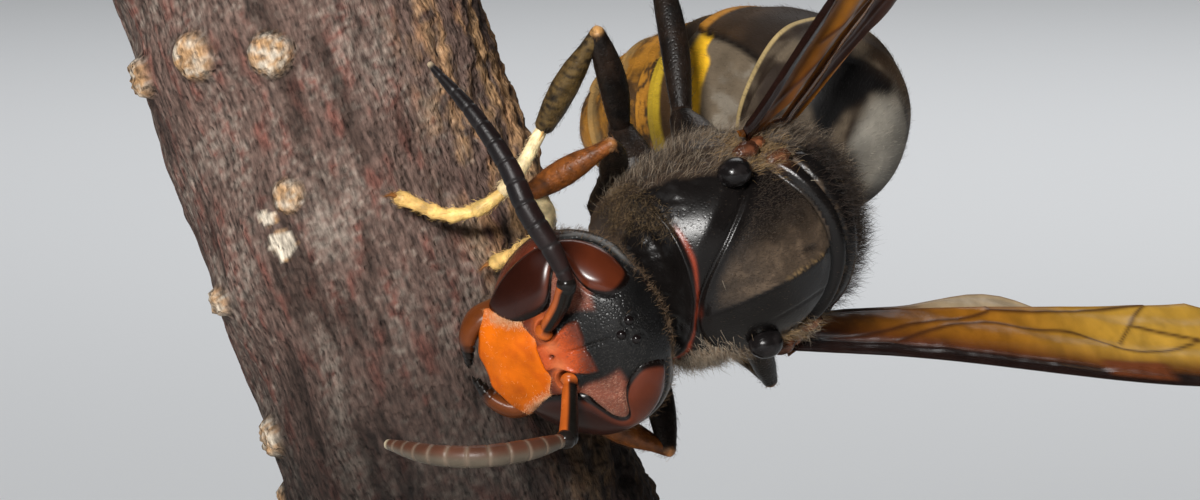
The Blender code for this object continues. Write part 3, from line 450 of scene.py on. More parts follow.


# Thorax skin: a black bare back and hairy flanks, with the dusty lobe, keel and grooves mixed in by bells of the
# distance to their lines. The lobe's brown is painted sheen, laid on the right half of the back only.
def makeThorax():
    look = thoraxLook
    local, normals = thoraxSurface()
    x, y, z = np.moveaxis(local, -1, 0)
    plan, suture, front, scutellum, post = thoraxLines(local)
    bare = bareShare(local)
    black = np.broadcast_to(np.array(look["black"]), local.shape)
    colour = mix(look["pleura"], black, np.clip(bare + 0.35 * smoothStep(0, 1, ripples(local, 0.9, 5)), 0, 1))
    # painted sheen: brown dust laid on the right half of the back only, where the light catches it
    lobe = smoothStep(0.01, 0.07, plan) * smoothStep(-0.15, -0.45, suture) * (scutellum > 0)
    dustAndSheenShare = lobe * bell(plan - 0.35 - 0.1 * ripples(local, 1.2, 14), 0.66) * smoothStep(2.0, 1.0, y)
    dustAndSheenShare = dustAndSheenShare * (0.55 + 0.45 * smoothStep(-0.4, 0.6, ripples(local, 0.5, 11)))
    colour = mix(colour, look["dustAndSheen"], 0.8 * dustAndSheenShare)
    notch = np.hypot((x - 0.14) / 0.7, (y + 0.62) * 0.45)
    colour = mix(colour, look["black"], 0.9 * bell(notch, 0.12))
    crest = bell(plan - 0.05, 0.05) * smoothStep(0.5, -0.3, y) * smoothStep(-1.1, -0.8, y) * (z > 1.5)
    colour = mix(colour, look["crest"], 0.7 * crest * smoothStep(-0.5, 0.7, ripples(local, 0.12, 19)))
    root = np.hypot(np.hypot(x - 2.36, y + 0.53), z - 0.95)
    second = np.hypot(np.hypot(x - 2.03, y + 1.10), z - 1.51)
    colour = mix(colour, look["wingFoot"], 0.8 * np.maximum(bell(root, 0.36), bell(second, 0.26)))
    colour = mix(colour, look["dustAndSheen"], 0.55 * bell(post, 0.08) * smoothStep(-0.1, 0.5, ripples(local, 0.35, 17)) * bare)
    keel = bell(front + 0.02, 0.042) * smoothStep(-0.9, 0.6, z)
    keel = keel * smoothStep(-0.2, 0.0, suture) * smoothStep(1.5, 1.2, x)
    colour = mix(colour, look["carina"], np.clip(1.1 * keel, 0, 1))
    gloss = 0.20 + 0.55 * dustAndSheenShare + 0.55 * (1 - bare) + 0.10 * smoothStep(0.0, 0.2, suture) * bare
    piece = joinSheets("thorax_skin", [sheet(fromThorax(local), colour, gloss=gloss)], [chitinShine])
    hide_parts("pronotum", "mesothorax", "scutellum", "propodeum")
    return piece, local, normals


neckLook = {"start": (0, 2.6, -0.3), "end": (0, -0.5, 0), "radius": 0.62, "ripple": 0.05, "waves": 6,
            "tone": (0.03, 0.016, 0.010)}


# Short ringed tube between head and thorax: radius + ripple sin.
def makeNeck():
    look = neckLook
    start = thoraxPoint(look["start"])
    end = np.array(pose["head"]) + headAxes @ np.array(look["end"])
    path = evenly(np.array([start, (start + end) / 2, end]), 30)
    radii = look["radius"] + look["ripple"] * np.sin(np.linspace(0, look["waves"] * full, 30))
    piece = joinSheets("neck_skin", [sheet(fromSpecimen(tube(path, radii, 40)), look["tone"])], [chitinShine])
    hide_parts("neck")
    return piece


headLook = {
    "halfWidth": 2.47, "top": 2.20, "bottom": 2.15, "back": 1.02, "front": 1.25, "boxiness": 0.80, "chin": 0.10,
    "black": (0.0055, 0.0052, 0.0052), "red": (0.36, 0.055, 0.011), "orange": (0.27, 0.065, 0.007),
    "brown": (0.09, 0.018, 0.008), "sinus": (0.17, 0.050, 0.030),
    "ocelli": ((0.0, 1.62), (0.235, 1.84), (-0.235, 1.84)), "ocellusRadius": 0.12,
    # orbitHighlight: pale grey of the painted highlight on the orbit beside the eyes
    "socket": (0.64, 0.0), "orbitHighlight": (0.14, 0.135, 0.13), "bead": (0.006, 0.004, 0.004),
    "socketRim": (0.40, 0.085, 0.022), "shieldLight": (0.52, 0.16, 0.06),
}
eyeLook = {
    "facing": 62.0, "proud": 0.10, "round": 0.22, "skirt": 0.30, "outlinePoints": 230,
    # height, then how far the inner and the outer margin lie across
    "margins": (
        (-1.97, 0.19, 0.19), (-1.92, 0.08, 0.24), (-1.75, -0.06, 0.28), (-1.45, -0.26, 0.34), (-1.10, -0.42, 0.42),
        (-0.75, -0.51, 0.51), (-0.35, -0.54, 0.61), (-0.05, -0.52, 0.70), (0.15, -0.46, 0.77), (0.30, -0.33, 0.82),
        (0.42, -0.10, 0.86), (0.53, 0.20, 0.89), (0.64, 0.38, 0.92), (0.76, 0.41, 0.945), (0.88, 0.27, 0.96),
        (1.00, 0.03, 0.97), (1.12, -0.13, 0.965), (1.28, -0.23, 0.94), (1.50, -0.25, 0.86), (1.68, -0.20, 0.74),
        (1.82, -0.06, 0.58), (1.92, 0.15, 0.44), (1.95, 0.33, 0.33),
    ),
    "dark": (0.020, 0.0045, 0.0024), "red": (0.085, 0.017, 0.006), "rim": (0.004, 0.002, 0.0015),
}


# The eye's own axes in the head frame: out along its facing, and across.
def eyeWays(sign):
    facing = math.radians(eyeLook["facing"])
    return (np.array([sign * math.sin(facing), math.cos(facing), 0]),
            np.array([sign * math.cos(facing), -math.sin(facing), 0]))


# Share of the head's outline that a place in the face plane reaches.
def headSize(across, up, grow):
    look = headLook
    down = up < 0
    height = np.where(down, look["bottom"] + grow, look["top"] + grow)
    length = np.hypot(across / (look["halfWidth"] + grow), up / height)
    sine = np.where(down, -up / height / np.maximum(length, 1e-9), 0)
    return np.hypot(across / (look["halfWidth"] + grow) / (1 - look["chin"] * sine), up / height)


# Below 1 inside the head: outline share ^ (2 / boxiness) + (depth share)^2.
def insideHead(local, grow):
    x, y, z = np.moveaxis(local, -1, 0)
    depth = np.where(y > 0, headLook["front"] + grow, headLook["back"] + grow)
    return headSize(x, z, grow) ** (2 / headLook["boxiness"]) + (y / depth) ** 2


# Where lines from base along way leave the head, found by halving the span 40 times.
def ontoHead(base, way, grow):
    low = np.zeros(base.shape[:-1])
    high = np.full(base.shape[:-1], 5.0)
    for _ in range(40):
        middle = (low + high) / 2
        inside = insideHead(base + middle[..., None] * way, grow) < 1
        low = np.where(inside, middle, low)
        high = np.where(inside, high, middle)
    return base + low[..., None] * way


# The head's outline carried from back to face: outline sin^0.8, depth cos; then sockets, ridges and bumps.
def headSurface(rows=220, columns=290):
    look = headLook
    turns = np.linspace(0, full, columns, endpoint=False)[None]
    slopes = (np.linspace(0, 1, rows) * (math.pi - 0.02) + 0.01)[:, None]
    down = np.maximum(-np.sin(turns), 0)
    wide = look["halfWidth"] * np.cos(turns) * (1 - look["chin"] * down)
    tall = np.where(np.sin(turns) > 0, look["top"], look["bottom"]) * np.sin(turns)
    share = np.sin(slopes) ** look["boxiness"]
    depth = np.where(np.cos(slopes) > 0, look["back"], look["front"]) * -np.cos(slopes)
    local = np.stack([share * wide, depth + 0 * turns, share * tall], -1)
    normals = gridNormals(local)
    x, y, z = np.moveaxis(local, -1, 0)
    face = smoothStep(0.2, 0.7, y)
    rise = 0.05 * smoothStep(0.6, -0.6, y) * smoothStep(0.3, 1.2, z) + 0.07 * bell(z - 1.75, 0.55) * bell(x, 0.9) * face
    socketX, socketZ = look["socket"]
    away = np.hypot(np.abs(x) - socketX, z - socketZ)
    rise += face * (-0.18 * smoothStep(0.25, 0.12, away) + 0.07 * bell(away - 0.29, 0.06))
    rise -= face * 0.10 * bell(np.hypot(np.abs(x) - 1.02, (z - 0.45) * 0.8), 0.30)
    climb = (z + 0.38) / 1.18
    edge = 0.30 + 0.34 * smoothStep(0.2, 0.85, climb)
    shield = smoothStep(0.05, -0.05, np.abs(x) - edge) * smoothStep(-0.48, -0.38, z)
    shield = shield * smoothStep(0.05, -0.05, z - 0.80 + 0.25 * np.maximum(0.25 - np.abs(x), 0)) * face
    rise += 0.075 * shield - face * 0.05 * bell(x, 0.05) * smoothStep(0.25, 0.5, z) * smoothStep(1.45, 1.15, z)
    rise -= face * 0.10 * bell(np.hypot(x * 1.3, z + 0.11), 0.055)
    for place in look["ocelli"]:
        near = np.hypot(x - place[0], z - place[1])
        rise -= face * 0.02 * bell(near - look["ocellusRadius"] - 0.02, 0.03)
    for sign in (1, -1):
        out, side = eyeWays(sign)
        rise -= 0.05 * bell(eyeGap(local @ side, z), 0.05) * (local @ out > 0.4)
    rise += 0.006 * ripples(local, 1.4, 7) + 0.12 * bell(y + 0.35, 0.4) * smoothStep(1.1, 1.7, np.abs(x))
    local = local + rise[..., None] * normals
    return local, gridNormals(local), shield, face


# Outline of the eye across and up: the inner margin climbing, the outer one coming down.
def eyeLoop(count):
    margins = curveThrough(eyeLook["margins"], count)
    inner, outer = margins[:, [1, 0]], margins[::-1, [2, 0]]
    return np.vstack([inner, outer[1:-1]])


# Distance to the eye's outline.
def eyeGap(across, up):
    gap = np.full(np.shape(across), 1e3)
    for point in eyeLoop(eyeLook["outlinePoints"]):
        gap = np.minimum(gap, np.hypot(across - point[0], up - point[1]))
    return gap


# Rows between the margins, thrown along the eye's facing onto a grown head; the edge is a quarter circle.
def eyeSurface(sign, rows=120, columns=46):
    look = eyeLook
    out, side = eyeWays(sign)
    margins = curveThrough(look["margins"], 400)
    climb = 0.5 - 0.5 * np.cos(np.linspace(0.02, math.pi - 0.02, rows))
    heights = margins[0, 0] + climb * (margins[-1, 0] - margins[0, 0])
    inner, outer = (np.interp(heights, margins[:, 0], margins[:, k])[:, None] for k in (1, 2))
    spread = 0.5 - 0.5 * np.cos(np.linspace(0, math.pi, columns))[None]
    across = inner + spread * (outer - inner)
    up = heights[:, None] + 0 * across
    gap = eyeGap(across, up)
    edge = np.minimum(gap / look["round"], 1)
    grow = -0.03 + (look["proud"] + 0.03) * np.sqrt(1 - (1 - edge) ** 2)
    base = across[..., None] * side + up[..., None] * np.array([0, 0, 1.0]) + 0.3 * out
    top = ontoHead(base, out, grow)
    under = (top - look["skirt"] * out)[:, ::-1]
    ring = np.concatenate([top, under[:, 1:-1]], axis=1)
    gap = np.concatenate([gap, gap[:, ::-1][:, 1:-1]], axis=1)
    return ring, gap


# Head skin with its face markings, a painted highlight on the orbit beside each eye, three beads on the crown, and the
# eyes as pieces of their own.
def makeHead():
    look = headLook
    local, normals, shield, face = headSurface()
    x, y, z = np.moveaxis(local, -1, 0)
    black = np.broadcast_to(np.array(look["black"]), local.shape)
    colour = mix(black, look["brown"], smoothStep(0.1, -0.3, z - 0.25 * np.abs(x)) * smoothStep(-0.3, 0.3, y))
    colour = mix(colour, look["orange"], 0.8 * smoothStep(-0.9, -1.4, z) * face)
    across = 0.469 * np.abs(x) - 0.883 * y
    sinus = smoothStep(-0.62, -0.46, across) * smoothStep(0.05, 0.25, z) * smoothStep(1.35, 1.15, z) * face
    colour = mix(colour, look["sinus"], sinus)
    away = np.hypot(np.abs(x) - look["socket"][0], z - look["socket"][1])
    colour = mix(colour, look["socketRim"], 0.8 * bell(away - 0.30, 0.12) * smoothStep(0.25, -0.05, z) * face)
    tone = mix(look["red"], look["brown"], smoothStep(0.35, 0.85, z + 0.25 * np.abs(x)))
    tone = mix(tone, look["shieldLight"], 0.6 * bell(np.hypot(np.abs(x) - 0.28, z + 0.02), 0.20))
    colour = mix(colour, tone, shield)
    colour = mix(colour, black, bell(np.hypot(x, z + 0.11), 0.06) * face)
    # painted highlight: a pale grey band on the black orbit along each eye's outer margin, on its upper part
    for sign in (1, -1):
        out, side = eyeWays(sign)
        orbitHighlight = bell(eyeGap(local @ side, z) - 0.15, 0.06) * smoothStep(0.55, 0.85, local @ side) * (local @ out > 0)
        colour = mix(colour, look["orbitHighlight"], 0.75 * orbitHighlight * smoothStep(0.3, 1.0, z))
    sheets = [sheet(fromHead(local), colour, gloss=0.45 + 0.1 * face)]
    for place in look["ocelli"]:
        centre = ontoHead(np.array([place[0], 0.0, place[1]]), np.array([0, 1.0, 0]), 0.02)
        bead = centre + unitBall(14, 28, 0.05, math.pi * 0.95) * look["ocellusRadius"]
        sheets.append(sheet(fromHead(bead), look["bead"], slot=1, gloss=0.05))
    piece = joinSheets("head_skin", sheets, [headShine, eyeGloss])
    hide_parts("head")
    for sign, side in ((1, "right"), (-1, "left")):
        lens, gap = eyeSurface(sign)
        tone = mix(eyeLook["dark"], eyeLook["red"], smoothStep(0.5, 1.3, lens[..., 2] + 0.3 * ripples(lens, 2.0, 2)))
        rim = mix(eyeLook["dark"], eyeLook["red"], smoothStep(-0.4, 0.8, lens[..., 2]))
        tone = mix(rim, tone, smoothStep(0.03, 0.16, gap))
        tone = mix(eyeLook["rim"], tone, smoothStep(0.015, 0.05, gap))
        eye = joinSheets(f"eye_{side}_lens", [sheet(fromHead(lens), tone, gloss=0.35)], [eyeGloss])
        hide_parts(f"eye_{side}")
        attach(eye, "root")
    return piece, local, normals


clypeusLook = {
    "outline": ((0.20, -0.41), (0.48, -0.34), (0.76, -0.25), (0.93, -0.42), (1.08, -0.88), (1.26, -1.38), (1.36, -1.68),
                (1.14, -1.86), (0.75, -1.98), (0.42, -2.10), (0.14, -2.05)),
    "orange": (0.50, 0.100, 0.0015), "edge": (0.46, 0.22, 0.10), "deep": (0.36, 0.058, 0.0015), "crown": 1.36,
}


# Rings from the middle to the shield's outline; the height falls with the square of the way across and below.
def clypeusSurface(rows=80, columns=160):
    right = np.array(clypeusLook["outline"])
    whole = np.vstack([right, right[::-1] * (-1, 1)])
    loop = evenly(curveThrough(np.vstack([whole, whole[:1]]), 800), columns + 1)[:-1]
    middle = np.array([0.0, -1.20])
    share = np.linspace(0.004, 1.12, rows)[:, None]
    flat = middle + np.minimum(share, 1)[..., None] * (loop[None] - middle)
    x, z = flat[..., 0], flat[..., 1]
    front = clypeusLook["crown"] - 0.25 * x ** 2
    front = front - 0.22 * np.maximum(-1.1 - z, 0) ** 1.5 - 0.16 * np.maximum(z + 1.1, 0) ** 2
    front = front - 0.07 * smoothStep(0.86, 1.0, share) ** 2 - 5.0 * np.maximum(share - 1, 0)
    front = front - 0.05 * bell(z + 1.80, 0.22) * bell(x, 0.35)
    return np.stack([x, front, z], -1), share + 0 * x


# Orange face shield, deeper below and paler where its rim turns.
def makeClypeus():
    local, share = clypeusSurface()
    x, z = local[..., 0], local[..., 2]
    colour = mix(clypeusLook["orange"], clypeusLook["deep"],
                 0.5 * smoothStep(-1.5, -2.1, z) * smoothStep(0.4, 1.0, share))
    rim = smoothStep(0.72, 0.95, share + 0.08 * ripples(local, 0.5, 61))
    rim = rim * np.maximum(smoothStep(0.3, 0.7, np.abs(x)) * smoothStep(-0.75, -0.45, z),
                           smoothStep(0.7, 1.1, np.abs(x)))
    rim = rim * smoothStep(-1.75, -1.1, z)
    colour = mix(colour, clypeusLook["deep"], 0.6 * smoothStep(-0.3, 0.8, ripples(local, 0.9, 62)))
    colour = mix(colour, clypeusLook["edge"], 0.6 * rim)
    piece = joinSheets("clypeus_skin", [sheet(fromHead(local), colour, gloss=0.45)], [bandedShine])
    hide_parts("clypeus")
    return piece, local


mandibleLook = {
    "path": ((1.20, 0.40, -1.60), (1.14, 0.62, -2.02), (0.80, 0.76, -2.36), (0.28, 0.80, -2.58)),
    "radii": (0.40, 0.41, 0.33, 0.14), "orange": (0.11, 0.028, 0.006), "black": (0.006, 0.004, 0.003),
}


# Curved flat blades, orange with black teeth along the inner edge of the end.
def makeMandibles():
    for sign, side in ((1, "right"), (-1, "left")):
        path = evenly(curveThrough(np.array(mandibleLook["path"]) * (sign, 1, 1), 60), 60)
        along = np.linspace(0, 1, 60)
        radii = np.interp(along, np.linspace(0, 1, 4), mandibleLook["radii"])
        rings = tube(path, radii, 48, 0.62, hint=(0, 0, 1))
        share = np.linspace(0, 1, len(rings))[:, None]
        teeth = smoothStep(0.62, 0.8, share) * (0.06 * np.sin(share * 70) + 0.03)
        inner = np.maximum(-(rings[..., 0] * sign - (path[:, 0] * sign).mean()), 0)
        rings = rings - teeth[..., None] * np.array([sign, 0, 0]) * (inner > 0)[..., None]
        colour = mix(mandibleLook["orange"], mandibleLook["black"], smoothStep(0.60, 0.78, share) + 0 * rings[..., 0])
        piece = joinSheets(f"mandible_{side}_skin", [sheet(fromHead(rings), colour, gloss=0.4)], [chitinShine])
        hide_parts(f"mandible_{side}")
        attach(piece, "root")


feelers = {
    "right": {
        "scape": ((-1.28, -4.05, -1.88), (-0.92, -4.78, -1.28), (-0.77, -5.30, -0.86)),
        "flagellum": ((-0.75, -5.36, -0.70), (-1.10, -5.50, 0.02), (-1.66, -5.50, 0.92), (-2.12, -5.36, 1.95),
                      (-2.90, -5.05, 3.12), (-3.90, -4.60, 4.26)),
        "top": (0.005, 0.0045, 0.005), "under": (0.016, 0.007, 0.006), "ring": (0.012, 0.010, 0.010),
        "tip": (0.35, 0.27, 0.18), "underWay": (1, 0, -1), "orange": (0.62, 0.92), "pedicel": (-0.765, -5.32, -0.79),
    },
    "left": {
        "scape": ((-0.70, -3.80, -3.00), (-0.70, -4.30, -3.75), (-0.73, -4.72, -4.32)),
        "flagellum": ((-0.85, -4.82, -4.36), (-1.75, -5.70, -4.58), (-2.80, -6.05, -4.70), (-3.85, -5.65, -4.66),
                      (-4.85, -4.50, -4.46)),
        "top": (0.090, 0.072, 0.052), "under": (0.075, 0.030, 0.018), "ring": (0.15, 0.11, 0.08),
        "tip": (0.45, 0.38, 0.26), "underWay": (0, 0, 1), "orange": (0.20, 0.60), "pedicel": (-0.79, -4.77, -4.34),
    },
}
feelerShape = {
    "rings": 11, "knobRadius": 0.235, "scape": (0.007, 0.006, 0.005), "scapeRed": (0.40, 0.085, 0.012),
    "knob": (0.009, 0.007, 0.006),
    "radii": {"right": (0.17, 0.24, 0.27, 0.265, 0.24, 0.215, 0.185, 0.14, 0.07),
              "left": (0.16, 0.22, 0.255, 0.26, 0.26, 0.25, 0.23, 0.19, 0.12)},
}


# Scape, ball-like second joint and a whip whose radius dips at each ring: r (1 - 0.08 bell(distance to a joint)).
def makeFeelers():
    for side, plan in feelers.items():
        path = evenly(curveThrough(plan["scape"], 60), 60)
        radii = np.interp(np.linspace(0, 1, 60), (0, 0.08, 0.16, 0.5, 1), (0.22, 0.14, 0.18, 0.20, 0.23))
        rings = tube(path, radii, 40)
        outward = unit(rings - rings.mean(axis=1, keepdims=True))
        base = smoothStep(0.16, 0.06, np.linspace(0, 1, len(rings)))[:, None]
        reds = np.clip(smoothStep(*plan["orange"], outward @ unit((-1, -0.35, 0))) + base, 0, 1)
        colour = mix(feelerShape["scape"], feelerShape["scapeRed"], 0.95 * reds)
        ball = unitBall(20, 30, 0.05, math.pi - 0.05)[..., [0, 2, 1]]
        knob = np.array(plan["pedicel"]) + feelerShape["knobRadius"] * ball
        scape = joinSheets(f"antenna_{side}_scape_skin", [
            sheet(fromSpecimen(rings), colour, gloss=0.25),
            sheet(fromSpecimen(knob), feelerShape["knob"], gloss=0.05)], [chitinShine])
        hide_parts(f"antenna_{side}_scape")
        line = evenly(curveThrough(plan["flagellum"], 300), 300)
        along = np.linspace(0, 1, 300)
        count = feelerShape["rings"]
        joints = np.concatenate([[0.045], 0.045 + (np.arange(1, count) / (count - 0.2)) ** 0.93 * 0.955])
        near = np.min(np.abs(along[:, None] - joints[None]), axis=1)
        radii = np.interp(along, np.linspace(0, 1, 9), feelerShape["radii"][side]) * (1 - 0.08 * bell(near, 0.006))
        rings = tube(line, radii, 40)
        pad = np.pad(near, 4, mode="edge")[:, None]
        under = smoothStep(-0.5, 0.5, unit(rings - rings.mean(axis=1, keepdims=True)) @ unit(plan["underWay"]))
        colour = mix(plan["top"], plan["under"], under)
        colour = mix(colour, plan["ring"], 0.75 * bell(pad, 0.010) + 0 * under)
        share = np.linspace(0, 1, len(rings))[:, None]
        colour = mix(colour, plan["tip"], smoothStep(0.965, 0.99, share) + 0 * under)
        whip = joinSheets(f"antenna_{side}_flagellum_skin",
                          [sheet(fromSpecimen(rings), colour, gloss=0.60 - 0.3 * smoothStep(0.08, 0.04, share))],
                          [chitinShine])
        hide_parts(f"antenna_{side}_flagellum")
        for piece in (scape, whip):
            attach(piece, "root")


gasterPlan = {
    "waist": (5.50, 3.25, 1.85),
    "rims": (((5.22, 5.55, 3.30), 2.40), ((3.72, 7.20, 3.42), 2.52), ((2.80, 8.85, 3.26), 2.38),
             ((1.75, 10.00, 3.25), 2.05), ((0.65, 10.95, 3.02), 1.48), ((-0.45, 11.55, 2.75), 0.40)),
    "first": ((0.0, 0.20), (0.14, 0.30), (0.30, 0.62), (0.50, 0.88), (0.75, 0.99), (1.0, 1.0)),
    "next": ((0.0, 0.93), (0.25, 0.98), (0.60, 1.02), (1.0, 1.0)),
    "steps": 60, "height": 0.95, "back": (0.80, 0.50, 0.32), "overhang": 0.16, "bellyRetreat": 0.65,
}
gasterColours = {
    "dark": (0.020, 0.013, 0.009), "grey": (0.115, 0.088, 0.060), "yellow": (0.85, 0.48, 0.025),
    "orange": (0.36, 0.16, 0.022), "tan": (0.27, 0.17, 0.065), "brown": (0.055, 0.030, 0.014),
    "silver": (0.28, 0.26, 0.22), "rim": (0.38, 0.28, 0.13), "olive": (0.46, 0.31, 0.025),
    # blackAndShadowPatch: the first ring's own black, laid where the right wing's shadow falls as a painted shadow
    "blackAndShadowPatch": (0.004, 0.0035, 0.0035), "seam": (0.008, 0.006, 0.005),
}


# Curve through the rims, its length so far, and headings averaged over one segment each way.
def gasterAxis(steps):
    rims = gasterPlan["rims"]
    axis = curveThrough([gasterPlan["waist"]] + [rim for rim, _ in rims], steps * len(rims) + 1)
    padded = np.pad(np.gradient(axis, axis=0), ((steps, steps), (0, 0)), mode="edge")
    headings = np.stack([np.convolve(column, np.ones(2 * steps + 1), "valid") for column in padded.T], -1)
    length = np.concatenate([[0], np.cumsum(np.linalg.norm(np.diff(axis, axis=0), axis=1))])
    return axis, unit(headings), length


# One segment: rings square to the smoothed heading; the rear rim overhangs and turns in.
def gasterSurface(number, rows=74, columns=180):
    steps = gasterPlan["steps"]
    axis, headings, length = gasterAxis(steps)
    start, end = length[(number - 1) * steps], length[number * steps]
    share, size = np.array(gasterPlan["first" if number == 1 else "next"]).T
    before = gasterPlan["rims"][max(number - 2, 0)][1]
    after = gasterPlan["rims"][number - 1][1]
    spots = np.linspace(0, 1, rows - 8)
    last = number == len(gasterPlan["rims"])
    overhang = 0 if last else gasterPlan["overhang"]
    begin = start - (0.25 if number > 1 else 0)
    places = begin + spots * (end + overhang - begin)
    shares = np.clip((places - start) / (end - start), 0, 1)
    radii = np.interp(shares, share, size) * (before + (after - before) * shares ** 1.5)
    if number > 1:
        radii = radii - 0.16 * smoothStep(start + 0.35, start + 0.05, places)
    if last:
        radii = np.maximum(radii * np.sqrt(np.clip(1 - spots ** 6, 0.02, 1)), 0.05)
    else:
        radii = radii + 0.05 * smoothStep(end - 0.35, end, places)
        lip = np.linspace(0, 1, 9)[1:]
        places = np.concatenate([places, places[-1] + 0.035 * np.sin(lip * math.pi)])
        radii = np.concatenate([radii, radii[-1] - 0.16 * lip])
    turnsOf = np.clip(places, start, end)
    centres = np.stack([np.interp(places, length, axis[:, k]) for k in range(3)], -1)
    ahead = unit(np.stack([np.interp(turnsOf, length, headings[:, k]) for k in range(3)], -1))
    back = unit(np.array(gasterPlan["back"]) - ahead * (ahead @ np.array(gasterPlan["back"]))[:, None])
    right = np.cross(ahead, back)
    turns = np.linspace(0, full, columns, endpoint=False)
    circle = (np.cos(turns)[None, :, None] * right[:, None]
              + gasterPlan["height"] * np.sin(turns)[None, :, None] * back[:, None])
    shape = centres[:, None] + circle * radii[:, None, None]
    way = (places - start) / (end - start)
    retreat = {1: smoothStep(0.3, 1.0, way), 2: smoothStep(0.9, 0.1, way)}.get(number, 0 * way)
    belly = smoothStep(-0.1, -0.9, np.sin(turns))
    shape = shape - gasterPlan["bellyRetreat"] * (retreat[:, None] * belly[None])[..., None] * ahead[:, None]
    return shape, way[:, None] + 0 * turns, turns[None] + 0 * way[:, None], circle


# Six rings in one skin. A band is a smooth step of way, 0 where a ring starts and 1 at its rim, or of the sine of
# the turn.
def makeGaster():
    sheets, roots = [], []
    tones = gasterColours
    for number in range(1, 7):
        points, way, turn, circle = gasterSurface(number)
        seam = -0.66 + 0.30 * way if number == 2 else -0.56 + 0 * way
        under = smoothStep(0.03, -0.03, np.sin(turn) - seam)
        if number > 1:
            points = points - 0.07 * under[..., None] * unit(circle)
            points = points - 0.06 * (bell(np.sin(turn) - seam, 0.02))[..., None] * unit(circle)
        speckle = ripples(points, 1.6, number)
        fine = ripples(points, 0.5, 20 + number)
        if number == 1:
            tone = mix(tones["dark"], tones["grey"], smoothStep(-0.6, 0.9, speckle))
            tone = mix(tone, tones["silver"], 0.8 * bell(way - 0.30, 0.22) * smoothStep(0.55, 0.85, np.sin(turn)))
            # black wedge on one side: the ring's own black, shaped and placed as the right wing's painted shadow
            low = 0.10 + 0.38 * np.maximum(np.sin(turn) + 0.05, 0) + 0.02 * speckle
            blackAndShadowPatch = smoothStep(-0.06, 0.05, way - low) * smoothStep(0.61, 0.55, way + 0.01 * speckle)
            blackAndShadowPatch = blackAndShadowPatch * smoothStep(-0.40, -0.20, np.sin(turn)) * smoothStep(0.92, 0.80, np.sin(turn))
            blackAndShadowPatch = blackAndShadowPatch * (np.cos(turn) < 0)
            tone = mix(tone, tones["blackAndShadowPatch"], blackAndShadowPatch)
            tone = mix(tone, tones["brown"], 0.7 * smoothStep(0.45, 0.7, way) * smoothStep(0.3, 0.8, np.sin(turn)))
            tone = mix(tone, tones["rim"], smoothStep(0.985, 1.0, way))
        elif number == 2:
            top = mix(tones["dark"], tones["brown"], smoothStep(0.25, 0.75, way) * (0.6 + 0.3 * speckle))
            top = mix(top, tones["orange"], smoothStep(0.88, 0.95, way))
            low = mix(tones["grey"], tones["silver"], 0.35 * smoothStep(-0.2, 0.8, speckle + 0.5 * fine))
            edge = 0.64 + 0.12 * smoothStep(-0.74, -0.56, np.sin(turn)) + 0.015 * speckle
            low = mix(low, tones["yellow"], smoothStep(-0.015, 0.035, way - edge) * smoothStep(1.0, 0.90, way))
            tone = mix(top, low, under)
            # painted shade: a dark line in the crease where the second ring's edge overhangs its sternite
            tone = mix(tone, tones["seam"], bell(np.sin(turn) - seam, 0.035) * smoothStep(-0.1, 0.1, way))
        elif number == 3:
            top = mix(tones["brown"], tones["tan"], 0.6 * smoothStep(0.3, 0.8, way + 0.1 * speckle))
            top = mix(top, tones["orange"], smoothStep(0.78, 0.88, way))
            low = mix(tones["brown"], tones["olive"], smoothStep(0.40, 0.50, way + 0.03 * speckle))
            rust = mix(tones["orange"], tones["brown"], smoothStep(-0.2, 0.5, fine))
            low = mix(low, rust, smoothStep(0.74, 0.80, way))
            tone = mix(top, low, under)
        else:
            tone = mix(tones["orange"], tones["brown"], smoothStep(-0.9, 0.9, speckle + 0.6 * fine))
            tone = mix(tone, tones["tan"], 0.7 * smoothStep(0.75, 0.95, way + 0.1 * fine))
        sheets.append(sheet(fromSpecimen(points), np.clip(tone, 0, 1), gloss=0.5, caps=(number == 1, number == 6)))
        roots.append((points, way, np.clip(tone, 0, 1)))
    piece = joinSheets("gaster_skin", sheets, [bandedShine])
    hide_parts(*[f"abdomen_{number}" for number in range(1, 7)])
    return piece, roots


wings = {
    "right": {"root": (2.79, -0.50, 1.16), "heading": (0.424, -0.882, -0.209), "twist": -28.0, "sign": 1},
    "left": {"root": (-2.66, -0.62, 1.28), "heading": (-0.385, -0.905, -0.18), "twist": -50.0, "sign": -1},
}
foreWing = {
    "length": 19.2, "below": 0.0,
    "widths": ((0.0, 0.50), (0.05, 0.90), (0.10, 1.25), (0.26, 1.60), (0.42, 2.00), (0.57, 2.35), (0.70, 2.60),
               (0.83, 2.75), (0.91, 2.30), (1.0, 0.50)),
    "edgeIn": {"left": 0.0, "right": 0.0}, "thickness": 0.07,
    # how far the front edge bows out: at once, more, and between which distances from the root
    "bow": {"left": (0.0, 0.50, 3.0, 14.0), "right": (0.22, 0.30, 0.0, 4.0)},
    # veins that follow the front edge, and the others in the plane, as places along and across in millimetres
    "edgeVeins": (
        ((0.2, 0.06), (10.0, 0.05), (18.8, 0.08)),
        ((0.3, 0.26), (4.0, 0.36), (8.0, 0.42), (11.0, 0.44)),
    ),
    "veins": (
        ((1.2, 0.40), (2.71, 0.61), (5.15, 1.05), (7.78, 1.54), (7.98, 1.77)),
        ((3.4, 0.36), (5.6, 0.90), (7.63, 1.27), (8.9, 1.14), (10.87, 1.08), (12.04, 0.61), (12.98, 0.49)),
        ((7.9, 1.62), (9.76, 1.62), (11.59, 1.81), (14.12, 2.14)),
        ((14.19, 2.13), (13.4, 1.62), (12.36, 0.79)),
        ((12.99, 1.34), (15.62, 1.04), (17.4, 0.80)),
        ((12.98, 0.49), (14.2, 0.66), (15.62, 1.04)),
    ),
    "stigma": ((11.2, 0.14), (13.8, 0.10)),
}
